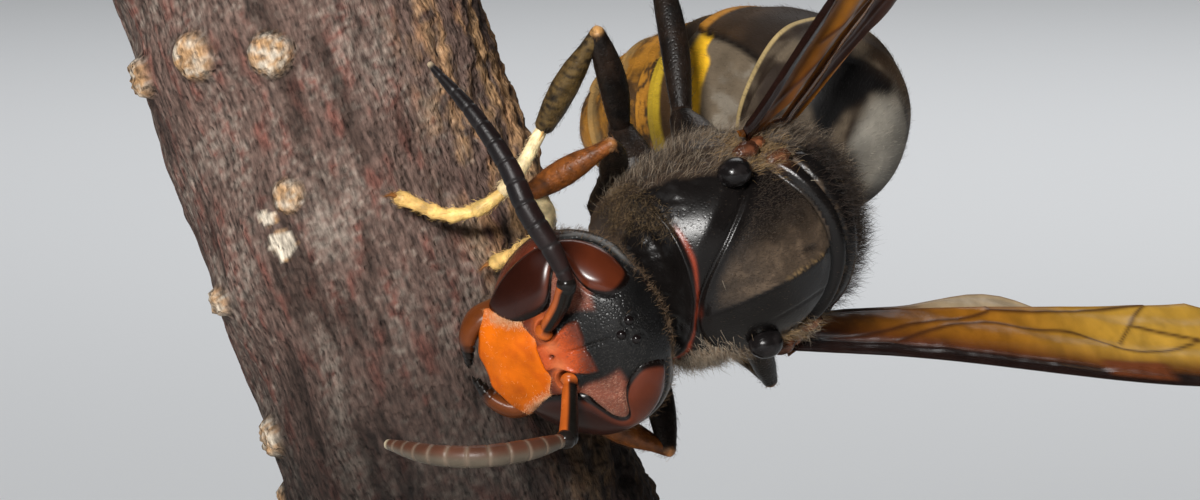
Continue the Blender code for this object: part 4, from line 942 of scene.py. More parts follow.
hindWing = {
    "length": 13.8, "below": 0.20,
    "widths": ((0.0, 0.20), (0.05, 0.45), (0.10, 0.55), (0.22, 0.78), (0.36, 0.95), (0.40, 1.03), (0.524, 1.38),
               (0.575, 1.50), (0.62, 1.545), (0.665, 1.51), (0.70, 1.40), (0.735, 1.22), (0.80, 0.95), (0.91, 0.70),
               (1.0, 0.30)),
    "edgeIn": {"left": 0.85, "right": 1.40}, "thickness": 0.05,
    "bow": {"left": (0.0, 0.0, 0.0, 1.0), "right": (0.0, 0.0, 0.0, 1.0)},
    "edgeVeins": (((1.4, 0.05), (6.0, 0.05), (12.0, 0.08)), ((1.5, 0.35), (6.0, 0.75), (9.0, 0.95))),
    "veins": (),
    "stigma": None,
}
wingColours = {
    "amber": (0.30, 0.115, 0.010), "gold": (0.56, 0.31, 0.040), "brown": (0.095, 0.026, 0.006),
    "dark": (0.010, 0.0045, 0.0035), "red": (0.085, 0.018, 0.006), "stigma": (0.15, 0.040, 0.012),
    "pale": (0.50, 0.40, 0.26), "purple": (0.032, 0.012, 0.010), "lit": (0.55, 0.19, 0.02),
    "vein": (0.050, 0.016, 0.007),
}


# Heading, way to the trailing edge and upper normal of a wing in the thorax frame.
def wingAxes(side):
    plan = wings[side]
    sign, heading, twist = plan["sign"], unit(plan["heading"]), math.radians(plan["twist"])
    level = unit((sign * heading[1], -sign * heading[0], 0))
    steep = np.cross(heading, level)
    steep = steep * math.copysign(1, steep[2])
    across = math.cos(twist) * level + math.sin(twist) * steep
    normal = np.cross(heading, across)
    return heading, across, normal * math.copysign(1, normal @ steep)


# Distance in the wing's plane to the nearest stretch of a broken line.
def lineDistance(along, across, line):
    nearest = np.full(along.shape, 1e3)
    line = curveThrough(line, 6 * len(line)) if len(line) > 2 else np.array(line, float)
    for (a0, c0), (a1, c1) in zip(line[:-1], line[1:]):
        step = np.array([a1 - a0, c1 - c0])
        share = np.clip(((along - a0) * step[0] + (across - c0) * step[1]) / max(step @ step, 1e-9), 0, 1)
        nearest = np.minimum(nearest, np.hypot(along - a0 - share * step[0], across - c0 - share * step[1]))
    return nearest


# Blade in its plane, closed over both faces, thick by half plus bells of the distance to each vein.
def wingSurface(plan, side, rows=200, columns=60):
    heading, across, normal = wingAxes(side)
    share = np.linspace(0.0, 1, rows)[:, None]
    column = (0.5 - 0.5 * np.cos(np.linspace(0, math.pi, columns)))[None]
    width = np.interp(share, *np.array(plan["widths"]).T)
    sweep = 0.9 * np.maximum(0, (share - 0.75) / 0.25) ** 2.2
    along = share * plan["length"] + 0 * column
    offset, more, near, far = plan["bow"][side]
    edge = plan["edgeIn"][side] * np.minimum(1, share * 8) + sweep - offset - more * smoothStep(near, far, along)
    over = edge + column * (width - sweep * 0.3)
    flatOver = over - edge
    lines = [lineDistance(along, flatOver, line) for line in plan["edgeVeins"]]
    lines += [lineDistance(along, over, line) for line in plan["veins"]]
    vein = np.max([bell(gap, 0.052) for gap in lines], axis=0)
    fine = np.clip(np.minimum(column, 1 - column) * 12, 0.1, 1)
    half = plan["thickness"] / 2 * fine + 0.022 * vein
    spot = 0 * along
    if plan["stigma"]:
        (a0, c0), (a1, c1) = plan["stigma"]
        spot = smoothStep(a0 - 0.2, a0 + 0.3, along) * smoothStep(a1 + 0.2, a1 - 0.5, along)
        spot = spot * smoothStep(0.72, 0.58, flatOver) * smoothStep(0.05, 0.18, flatOver)
        half = half + 0.04 * spot
    pleats = 0.05 if side == "left" else 0.08
    wave = pleats * np.sin(flatOver * 6.5 + 0.15 * along) * fine + 0.03 * ripples(
        np.stack([along, flatOver * 2, 0 * along], -1), 3.0, 21) * fine
    middle = (np.array(wings[side]["root"]) - plan["below"] * normal
              + along[..., None] * heading + over[..., None] * across + wave[..., None] * normal)
    upper, lower = middle + half[..., None] * normal, middle - half[..., None] * normal
    ring = np.concatenate([upper, lower[:, ::-1]], axis=1)
    facts = [np.concatenate([fact, fact[:, ::-1]], axis=1)
             for fact in (along, flatOver, vein, spot, column + 0 * along)]
    return ring, facts


# Amber membrane, browner at the root and along the front edge, dark veins and stigma.
def wingPaint(plan, side, facts):
    along, over, vein, spot, column = facts
    tones = wingColours
    tone = mix(tones["amber"], tones["gold"], smoothStep(7, 14, along))
    tone = mix(tone, tones["brown"], 0.8 * smoothStep(7.5, 1.0, along))
    if plan["stigma"]:
        tone = mix(tone, tones["red"], 0.92 * smoothStep(1.05 if side == "left" else 0.75, 0.45, over))
        tone = mix(tone, tones["dark"], 0.97 * smoothStep(0.50, 0.30, over))
    elif side == "left":
        tone = mix(tone, tones["pale"], 0.8 * smoothStep(4.0, 6.5, along))
    else:
        tone = mix(tone, tones["purple"], 0.95 * smoothStep(0.30, 0.50, over))
        # painted highlight: orange light along the right hind wing's far edge
        tone = mix(tone, tones["lit"], 0.9 * smoothStep(0.90, 0.97, column))
    tone = mix(tone, tones["brown"],
               0.7 * smoothStep(0.70, 1.0, column) * smoothStep(8.0, 3.0, along) * (side == "left"))
    tone = mix(tone, tones["vein"], 0.9 * vein * (smoothStep(0.35, 0.60, over) if plan["stigma"] else 1))
    tone = mix(tone, tones["stigma"], spot)
    return mix(tone, tones["brown"], 0.5 * smoothStep(0.96, 1.0, column) * (side == "left"))


# Front and hind wing on each side.
def makeWings():
    for side in wings:
        for kind, plan in (("fore", foreWing), ("hind", hindWing)):
            ring, facts = wingSurface(plan, side)
            colour = wingPaint(plan, side, facts)
            gloss = 0.10 + 0.40 * smoothStep(0.3, 0.8, facts[1])
            piece = joinSheets(f"{kind}wing_{side}_skin", [sheet(fromThorax(ring), colour, gloss=gloss)],
                               [wingSkin])
            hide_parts(f"{kind}wing_{side}")
            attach(piece, "root")


# place in the thorax frame, radius, stretch, tone, gloss and lumps of each knob
tegulaKnobs = {
    "cap": ((2.23, 0.42, 1.84), 0.39, (0.9, 1.1, 1.0), (0.006, 0.005, 0.005), 0.05, 0.02),
    "foreHinge": ((2.42, -0.36, 1.26), 0.27, (0.8, 1.3, 0.9), (0.045, 0.016, 0.008), 0.15, 0.12),
    "midHinge": ((2.44, -0.78, 1.10), 0.20, (0.8, 1.3, 0.9), (0.080, 0.028, 0.012), 0.15, 0.12),
    "rearHinge": ((2.06, -1.06, 1.52), 0.24, (0.8, 1.4, 0.7), (0.070, 0.028, 0.014), 0.20, 0.12),
}


# Glossy cap over each wing's root and three brown knobs behind it: balls stretched along the body.
def makeTegulae():
    for sign, side in ((1, "right"), (-1, "left")):
        ball = unitBall(32, 46, 0.03, math.pi - 0.03)
        sheets = []
        for place, radius, stretch, tone, gloss, lumps in tegulaKnobs.values():
            shape = ball * stretch * (1 + lumps * ripples(ball, 1.6, 31)[..., None])
            sink = 0.20 if sign < 0 and radius > 0.3 else 0.0
            local = (np.array(place) - (sink, 0, 0.4 * sink) + radius * shape) * (sign, 1, 1)
            colour = mix(tone, np.array(tone) * 2.2, smoothStep(0.2, 0.9, ripples(ball, 1.2, 33)))
            sheets.append(sheet(fromThorax(local), colour, gloss=gloss))
        piece = joinSheets(f"tegula_{side}_skin", sheets, [chitinShine])
        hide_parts(f"tegula_{side}")
        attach(piece, "root")


legs = {
    "front_right": {
        "root": (1.00, 1.60, -1.90), "joints": ((0.25, 0.60, 1.60), (0.23, -2.20, 2.44), (-1.52, -1.60, 1.40)),
        "tarsus": ((-1.20, -0.90, 0.86), (-1.42, 0.40, 0.35), (-1.90, 1.75, 0.0), (-2.50, 2.45, -0.30)),
    },
    "middle_right": {
        "root": (1.30, 0.30, -2.55), "joints": ((0.52, 2.00, 2.78), (-0.07, 0.20, 5.11), (-1.31, 1.70, 2.97)),
        "tarsus": ((-2.26, 1.60, 1.42), (-3.45, 1.75, 0.83), (-4.76, 1.75, 1.24)),
    },
    "hind_right": {
        "root": (1.35, -1.60, -2.45), "joints": ((1.99, 3.20, 3.11), (1.40, 4.70, 6.90), (-2.00, 5.40, 8.20)),
        "tarsus": ((-3.20, 4.55, 8.85), (-4.60, 3.50, 9.40), (-5.90, 2.35, 9.90)),
    },
    "front_left": {
        "root": (-1.20, 1.60, -1.80), "joints": ((0.99, 1.45, -2.16), (1.61, 0.20, -4.70), (-0.24, 0.90, -3.88)),
        "tarsus": ((-0.35, 1.60, -3.70), (-0.75, 2.25, -3.60), (-1.40, 2.10, -3.55), (-2.00, 1.80, -3.50)),
    },
    "middle_left": {
        "root": (-1.30, 0.30, -2.55), "joints": ((1.50, 2.70, -1.50), (2.50, 5.00, -2.50), (0.30, 5.90, -2.30)),
        "tarsus": ((0.45, 7.00, -2.10), (0.25, 8.30, -1.90), (-0.60, 9.75, -1.70)),
    },
    "hind_left": {
        "root": (-1.35, -1.60, -2.45), "joints": ((3.20, 3.90, -0.95), (4.14, 6.40, -3.17), (2.20, 8.50, -1.20)),
        "tarsus": ((1.90, 9.60, -1.60), (1.20, 10.80, -2.20), (0.30, 11.70, -2.80)),
    },
}
legLook = {
    "coxa": (0.52, 0.60, 0.50, 0.34), "femur": (0.24, 0.30, 0.34, 0.35, 0.33, 0.28, 0.19),
    "tibia": (0.16, 0.20, 0.29, 0.33, 0.31, 0.24), "tarsomeres": (0.40, 0.18, 0.14, 0.10, 0.18), "tarsusRadius": 0.19,
    "black": (0.0055, 0.0045, 0.0040), "brown": (0.034, 0.017, 0.009), "orange": (0.42, 0.17, 0.04),
    "yellow": (0.74, 0.50, 0.17), "cream": (0.80, 0.64, 0.36), "claw": (0.10, 0.035, 0.012),
    "tibiaTone": {"front": (0.16, 0.048, 0.009), "middle": (0.090, 0.056, 0.020), "hind": (0.075, 0.045, 0.020)},
    "mottle": {"front": 0.45, "middle": 0.90, "hind": 0.75},
    "kneeTone": {"front": (0.30, 0.13, 0.045), "middle": (0.50, 0.26, 0.09), "hind": (0.40, 0.18, 0.05)},
}


# Tubes with spindle, club and cup profiles, each starting inside the one before, and two hooked claws.
def legSheets(plan, place):
    look = legLook
    root = thoraxPoint(plan["root"])
    hip, knee, ankle = (np.array(joint) for joint in plan["joints"])
    sheets = []

    # One tube along a curve, its radius read off evenly spaced values and its colour off the share of its length.
    def limb(points, radii, colour, columns=28, rows=60):
        path = evenly(curveThrough(points, rows), rows)
        size = np.interp(np.linspace(0, 1, rows), np.linspace(0, 1, len(radii)), radii)
        rings = tube(path, size, columns)
        share = np.linspace(0, 1, len(rings))[:, None] + 0 * rings[..., 0]
        sheets.append(sheet(fromSpecimen(rings), colour(share, rings), gloss=0.4))

    black, brown, orange, yellow = (np.array(look[tone]) for tone in ("black", "brown", "orange", "yellow"))
    limb((root, (root + hip) / 2, hip), look["coxa"], lambda s, r: mix(black, brown, 0.2 + 0.2 * ripples(r, 1.0, 4)))
    shinTone, kneeTone = (np.array(look[tone][place]) for tone in ("tibiaTone", "kneeTone"))
    thigh = unit(knee - hip)
    limb((hip - 0.15 * thigh, hip + 0.2 * thigh), (0.24, 0.30, 0.26), lambda s, r: mix(black, brown, 0.4 + 0 * s))
    side = unit(np.cross(thigh, ankle - knee))
    bow = np.cross(side, thigh) * 0.08
    limb((hip + 0.2 * thigh, (hip + knee) / 2 - bow, knee), look["femur"],
         lambda s, r: mix(mix(black, brown, 0.2 + 0.2 * ripples(r, 1.2, 6)), kneeTone,
                          0.8 * smoothStep(0.93, 0.985, s)))
    shin = unit(ankle - knee)
    limb((knee - 0.05 * shin, (knee + ankle) / 2 + bow * 0.6, ankle), look["tibia"],
         lambda s, r: mix(mix(shinTone, black, look["mottle"][place] * smoothStep(-0.5, 0.9, ripples(r, 0.30, 9))),
                          kneeTone, 0.8 * smoothStep(0.09, 0.03, s)))
    foot = evenly(curveThrough([ankle, *plan["tarsus"]], 200), 200)
    cuts = np.concatenate([[0], np.cumsum(look["tarsomeres"])])
    for number in range(5):
        low, high = cuts[number], cuts[number + 1]
        at = np.linspace(low, high, 24)
        path = np.stack([np.interp(at, np.linspace(0, 1, 200), foot[:, k]) for k in range(3)], -1)
        thick = look["tarsusRadius"] * (0.95 if number == 0 else 0.85)
        profile = thick * np.interp(np.linspace(0, 1, 24), (0, 0.15, 0.6, 0.9, 1), (0.7, 0.85, 0.95, 1.2, 1.1))
        rings = tube(path, profile, 22)
        tone = mix(look["cream"] if number == 0 else yellow, orange,
                   np.clip(0.06 * number + 0.12 * ripples(rings, 0.8, 12), 0, 1))
        sheets.append(sheet(fromSpecimen(rings), np.clip(tone, 0, 1), gloss=0.45))
    end, heading = foot[-1], unit(foot[-1] - foot[-20])
    aside = unit(np.cross(heading, (0, 0, 1)))
    droop = np.cross(aside, heading)
    for sign in (1, -1):
        points = (end - 0.1 * heading, end + 0.18 * heading + sign * 0.14 * aside,
                  end + 0.34 * heading + sign * 0.24 * aside - 0.10 * droop)
        limb(points, (0.07, 0.05, 0.012), lambda s, r: mix(orange, np.array(look["claw"]), s), 14, rows=20)
    limb((end, end + 0.22 * heading), (0.07, 0.09, 0.05), lambda s, r: mix(brown, orange, 0.5 + 0 * s), 14, rows=12)
    spur = ankle + 0.45 * unit(foot[40] - ankle) + 0.16 * side
    limb((ankle - 0.08 * shin + 0.10 * side, spur), (0.05, 0.035, 0.008),
         lambda s, r: mix(orange, yellow, s), 12, rows=12)
    return sheets


# Six legs, each one skin; their sheets are handed on for the hair.
def makeLegs():
    grids = {}
    for name, plan in legs.items():
        sheets = legSheets(plan, name.split("_")[0])
        piece = joinSheets(f"leg_{name}_skin", sheets, [legShine])
        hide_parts(*[f"leg_{name}_{part}" for part in ("coxa", "femur", "tibia", "tarsus")])
        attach(piece, "root")
        grids[name] = sheets
    return grids


branch = {
    "middle": (-5.30, 6.50, 0.0), "lean": 0.35, "radius": 4.20, "up": 13.5, "cut": 12.2,
    # scars: height along the branch, way round in degrees, radius and rise in millimetres
    "knots": ((5.84, 232.0, 0.54, 0.24), (5.24, 258.0, 0.50, 0.22), (1.94, 248.0, 0.38, 0.14),
              (5.85, 202.0, 0.46, 0.34),
              (-9.0, 330.0, 0.5, 0.30), (7.5, 40.0, 0.5, 0.30), (-1.0, 95.0, 0.45, 0.25), (10.5, 140.0, 0.5, 0.30),
              (-5.0, 170.0, 0.4, 0.22), (-11.0, 215.0, 0.45, 0.25), (0.1, 203.0, 0.36, 0.24), (-3.4, 200.0, 0.45, 0.26),
              (8.3, 205.0, 0.42, 0.24)),
    "patches": ((0.86, 240.0, 0.34), (1.6, 238.0, 0.20), (-6.4, 205.0, 0.3)),
    "bark": (0.100, 0.064, 0.052), "grey": (0.25, 0.215, 0.18), "dark": (0.022, 0.013, 0.010),
    "tan": (0.36, 0.21, 0.10), "pale": (0.46, 0.40, 0.32), "red": (0.125, 0.045, 0.034),
    "wood": ((0.45, 0.30, 0.17), (0.62, 0.46, 0.28)),
}


# Leaning cylinder, its radius rippled by slow waves, stretched bark noise and bells for the knots.
def branchSurface(rows=310, columns=260):
    plan = branch
    axis, side = unit((-plan["lean"], 0, 1)), unit((1, 0, plan["lean"]))
    turns = np.linspace(0, full, columns, endpoint=False)[None]
    circle = np.cos(turns)[..., None] * side + np.sin(turns)[..., None] * np.array((0, 1.0, 0))
    share = np.linspace(0, 1, rows)[:, None]
    foot = np.array(plan["middle"])
    ringHeight = (fromSpecimen(foot + plan["radius"] * circle))[..., 2]
    low = (plan["cut"] - ringHeight) / (specimenAxes @ axis)[2]  # the lower cut is level
    high = low + share * (plan["up"] - low)
    slow = 0.07 * np.sin(0.55 * high + 2 * turns) + 0.05 * np.sin(1.3 * high - 3 * turns)
    knots, discs, rims = 0 * high, 0 * high, 0 * high
    around = np.stack([3 * np.cos(turns) + 0 * high, 3 * np.sin(turns) + 0 * high, high * 0.14], -1)
    evenPlace = around * (1.4, 1.4, 1.4 / 0.14)
    for place, angle, size, rise in plan["knots"]:
        turn = np.angle(np.exp(1j * (turns - math.radians(angle))))
        away = np.hypot(high - place, plan["radius"] * turn) / size + 0.10 * ripples(evenPlace, 0.9, 45)
        disc = smoothStep(1.30, 0.75, away)
        knots = knots + rise * disc * (1 + 0.25 * ripples(evenPlace, 0.45, 46)) + 0.5 * rise * bell(away, 1.9)
        discs, rims = np.maximum(discs, disc), np.maximum(rims, bell(away - 1.18, 0.14))
    for place, angle, size in plan["patches"]:
        turn = np.angle(np.exp(1j * (turns - math.radians(angle))))
        away = np.hypot(high - place, plan["radius"] * turn) / size + 0.3 * ripples(evenPlace, 0.6, 48)
        discs = np.maximum(discs, 1.2 * smoothStep(1.1, 0.85, away))
    coarse = ripples(around, 2.2, 41, 4)
    fineGrain = ripples(around * (1, 1, 1.6), 0.42, 43, 3)
    patchy = ripples(around * (1, 1, 2.6), 1.5, 52, 4)
    cracks = smoothStep(0.35, 0.9, np.abs(ripples(around, 1.2, 47, 3)))
    inner = smoothStep(0, 0.01, share) * smoothStep(1, 0.985, share)
    edge = smoothStep(0.60, 0.95, np.cos(turns + 0.25))
    bark = 0.05 * coarse + 0.04 * fineGrain - 0.05 * cracks + edge * 0.10 * ripples(evenPlace, 1.1, 53, 3)
    radius = plan["radius"] + slow + (knots + bark * (1 - 0.7 * np.minimum(discs, 1))) * inner - 0.05 * (1 - inner)
    centres = foot + high[..., None] * axis
    return centres + radius[..., None] * circle, patchy, fineGrain, cracks, discs, rims, edge + 0 * high, high, centres


# Bark sheet and the two cut faces, whose rings are waves of the distance from the pith.
def makeBranch():
    points, patchy, fineGrain, cracks, discs, rims, edge, high, centres = branchSurface()
    plan = branch
    tone = mix(plan["bark"], plan["red"], 0.75 * smoothStep(0.1, 0.8, fineGrain))
    tone = mix(tone, plan["grey"], 0.55 * smoothStep(-0.2, 1.2, 0.8 * patchy + 0.8 * ripples(points, 0.30, 54)))
    tone = mix(tone, plan["dark"], 0.65 * smoothStep(0.3, 0.9, cracks - 0.5 * patchy))
    tone = mix(tone, mix(plan["tan"], plan["dark"], smoothStep(0.1, 0.8, -ripples(points, 0.8, 55))),
               0.8 * edge * smoothStep(-0.6, 0.4, fineGrain + patchy))
    # painted shade: the bark darkens by up to 82% below the hornet, fully from 6.5 to 11 mm below the middle, to none
    # at 1.5 mm above it and 17 mm below it
    tone = tone * (1 - 0.82 * smoothStep(1.5, -6.5, high) * smoothStep(-17.0, -11.0, high))[..., None]
    crumbs = ripples(points, 0.30, 49)
    tone = mix(tone, mix(plan["tan"], plan["pale"], smoothStep(-0.4, 0.7, crumbs)), np.clip(discs, 0, 1) * 0.9)
    tone = mix(tone, plan["pale"], smoothStep(1.0, 1.2, discs))
    tone = mix(tone, plan["dark"], 0.45 * rims)
    sheets = [sheet(fromSpecimen(points), np.clip(tone, 0, 1), gloss=0.6, caps=(False, False))]
    for row in (0, -1):
        rim, pith = points[row], centres[row].mean(axis=0)
        share = np.linspace(1, 0.01, 26)[:, None, None]
        face = pith + share * (rim - pith)
        rings = 0.5 + 0.5 * np.sin(share[..., 0] * 36 + 1.5 * ripples(face, 3.0, 51))
        wood = mix(*plan["wood"], rings)
        wood = mix(wood, plan["dark"], smoothStep(0.93, 0.97, share[..., 0]) + 0 * rings)
        sheets.append(sheet(fromSpecimen(face), wood, gloss=0.7, caps=(False, True), slot=1))
    piece = joinSheets("branch_skin", sheets, [barkSkin, woodCut])
    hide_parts("perch_branch")
    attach(piece, "root")
    return piece


# Random roots on a grid, a cell drawn by area times weight: place, normal, row and column shares.
def sampleSheet(points, normals, weights, count, rng):
    rows, columns = points.shape[:2]
    nextColumn = np.roll(points, -1, axis=1)
    area = np.linalg.norm(np.cross(points[1:] - points[:-1], nextColumn[:-1] - points[:-1]), axis=-1)
    chance = area * weights[:-1]
    picks = rng.choice(chance.size, count, p=(chance / chance.sum()).ravel())
    i, j = picks // columns, picks % columns
    s, t = rng.random((2, count))
    k = (j + 1) % columns

    # The cell's four corners, weighted by the shares along and across it.
    def blendAt(grid):
        s1, t1 = s[:, None], t[:, None]
        return ((1 - s1) * (1 - t1) * grid[i, j] + (1 - s1) * t1 * grid[i, k] + s1 * (1 - t1) * grid[i + 1, j]
                + s1 * t1 * grid[i + 1, k])

    return blendAt(points), unit(blendAt(normals)), np.stack([(j + t) / columns, (i + s) / rows], -1), (i, j)


# Three-sided tapering strands of three stations: root + length (lie s + normal lift s (1 - s / 2)).
def growHair(name, roots, normals, lies, lengths, widths, unwrap, colours, lift, rng):
    count = len(roots)
    lies = unit(lies - normals * (lies * normals).sum(-1, keepdims=True) * 0.9 + rng.normal(0, 0.16, (count, 3)))
    lift = np.asarray(lift, float) * rng.uniform(0.6, 1.4, count)
    stations = []
    for share, thick in ((-0.06, 1.0), (0.45, 0.75)):
        place = roots + lengths[:, None] * (lies * share + normals * (lift * share * (1 - share / 2))[:, None])
        stations.append((place, thick))
    tips = roots + lengths[:, None] * (lies + normals * (lift * 0.45)[:, None])
    side = unit(np.cross(lies, normals) + 1e-6)
    upward = unit(np.cross(side, lies))
    rings = []
    for place, thick in stations:
        for angle in (0.0, full / 3, 2 * full / 3):
            rings.append(place + (widths * thick)[:, None] * (math.cos(angle) * side + math.sin(angle) * upward))
    vertices = np.stack([*rings, tips], axis=1)
    quads = np.array([[0, 1, 4, 3], [1, 2, 5, 4], [2, 0, 3, 5]])
    tris = np.array([[3, 4, 6], [4, 5, 6], [5, 3, 6], [0, 2, 1]])
    base = (np.arange(count) * 7)[:, None, None]
    quads, tris = (quads[None] + base).reshape(-1, 4), (tris[None] + base).reshape(-1, 3)
    corners = np.concatenate([quads.ravel(), tris.ravel()])
    sizes = np.concatenate([np.full(len(quads), 4), np.full(len(tris), 3)])
    starts = np.concatenate([[0], np.cumsum(sizes)[:-1]])
    spread = np.array([[0, 0], [1, 0], [0.5, 1], [0, 0.5], [1, 0.5], [0.5, 1], [0.5, 0.5]]) * 0.003
    maps = (unwrap[:, None] + spread[None]).reshape(-1, 2)
    shades = np.repeat(colours, 7, axis=0)
    piece = meshFrom(name, vertices.reshape(-1, 3), corners, starts, shades, np.full(count * 7, 0.5), [hairStrand],
                     np.zeros(len(sizes)), maps)
    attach(piece, "root")
    return piece


# A frame's directions in the world: the moved way less the moved origin.
def waysFrom(fromFrame, ways):
    return fromFrame(ways) - fromFrame((0, 0, 0))


golden, tawny, smoke = (0.46, 0.30, 0.13), (0.19, 0.115, 0.06), (0.050, 0.034, 0.025)
jet, pale = (0.012, 0.010, 0.009), (0.42, 0.36, 0.28)
# strands, the way they lie and its spread, lengths and radii in millimetres, the two end tones, how far they stand off
coats = {
    "flanks_down": {"count": 13000, "way": (0, -0.9, -0.2), "spread": 0.30, "lengths": (0.08, 0.20),
                    "radii": (0.0024, 0.0040), "tones": ((0.025, 0.017, 0.012), (0.105, 0.070, 0.042)), "lift": 0.8},
    "flanks_long": {"count": 5000, "way": (0, -0.7, 0.1), "spread": 0.35, "lengths": (0.24, 0.48),
                    "radii": (0.0026, 0.0042), "tones": ((0.13, 0.080, 0.045), (0.30, 0.25, 0.19)), "lift": 1.2},
    "nape": {"count": 1800, "way": (0, 0.5, 0.4), "spread": 0.30, "lengths": (0.12, 0.30),
             "radii": (0.0022, 0.0036), "tones": ((0.26, 0.17, 0.08), smoke), "lift": 1.0},
    "wing_roots": {"count": 2600, "way": (0, -0.6, 0.6), "spread": 0.4, "lengths": (0.16, 0.34),
                   "radii": (0.003, 0.005), "tones": (golden, tawny), "lift": 1.1},
    "left_tufts": {"count": 2200, "way": (-0.5, -0.5, -0.3), "spread": 0.45, "lengths": (0.18, 0.40),
                   "radii": (0.0028, 0.0045), "tones": (pale, tawny), "lift": 1.2},
    "rear": {"count": 3000, "way": (0, -0.6, 0.5), "spread": 0.35, "lengths": (0.20, 0.48),
             "radii": (0.0030, 0.0045), "tones": (jet, smoke), "lift": 1.3},
    "scutum_down": {"count": 9000, "way": (0, -1.0, 0), "spread": 0.15, "lengths": (0.03, 0.075),
                    "radii": (0.0018, 0.0028), "tones": ((0.10, 0.068, 0.045), jet), "lift": 0.35},
    "occiput": {"count": 4200, "way": (0, -0.5, 0.3), "spread": 0.35, "lengths": (0.10, 0.24),
                "radii": (0.0024, 0.0042), "tones": (smoke, tawny), "lift": 1.0},
    "frons": {"count": 4200, "way": (0, 0.2, -0.8), "spread": 0.4, "lengths": (0.03, 0.08),
              "radii": (0.0012, 0.0022), "tones": ((0.13, 0.12, 0.11), jet), "lift": 1.0},
    "sinus": {"count": 3200, "way": (0, 0.1, -0.9), "spread": 0.3, "lengths": (0.03, 0.08),
              "radii": (0.0014, 0.0026), "tones": ((0.66, 0.42, 0.30), (0.34, 0.15, 0.09)), "lift": 0.5},
    "clypeus": {"count": 3600, "centre": (0, 1.3, -1.1), "spread": 0.3, "lengths": (0.04, 0.10),
                "radii": (0.0014, 0.0026), "tones": ((0.80, 0.52, 0.34), (0.55, 0.22, 0.06)), "lift": 0.5},
    "gaster": {"counts": (4200, 3600, 3000, 2400, 1800, 1200), "lengths": (0.07, 0.17), "radii": (0.0016, 0.0032),
               "longShare": 0.06, "lift": (0.2, 0.9)},
    "leg": {"perMillimetre": 52, "lengths": (0.07, 0.19), "radii": (0.0022, 0.0038), "lift": 0.9},
}


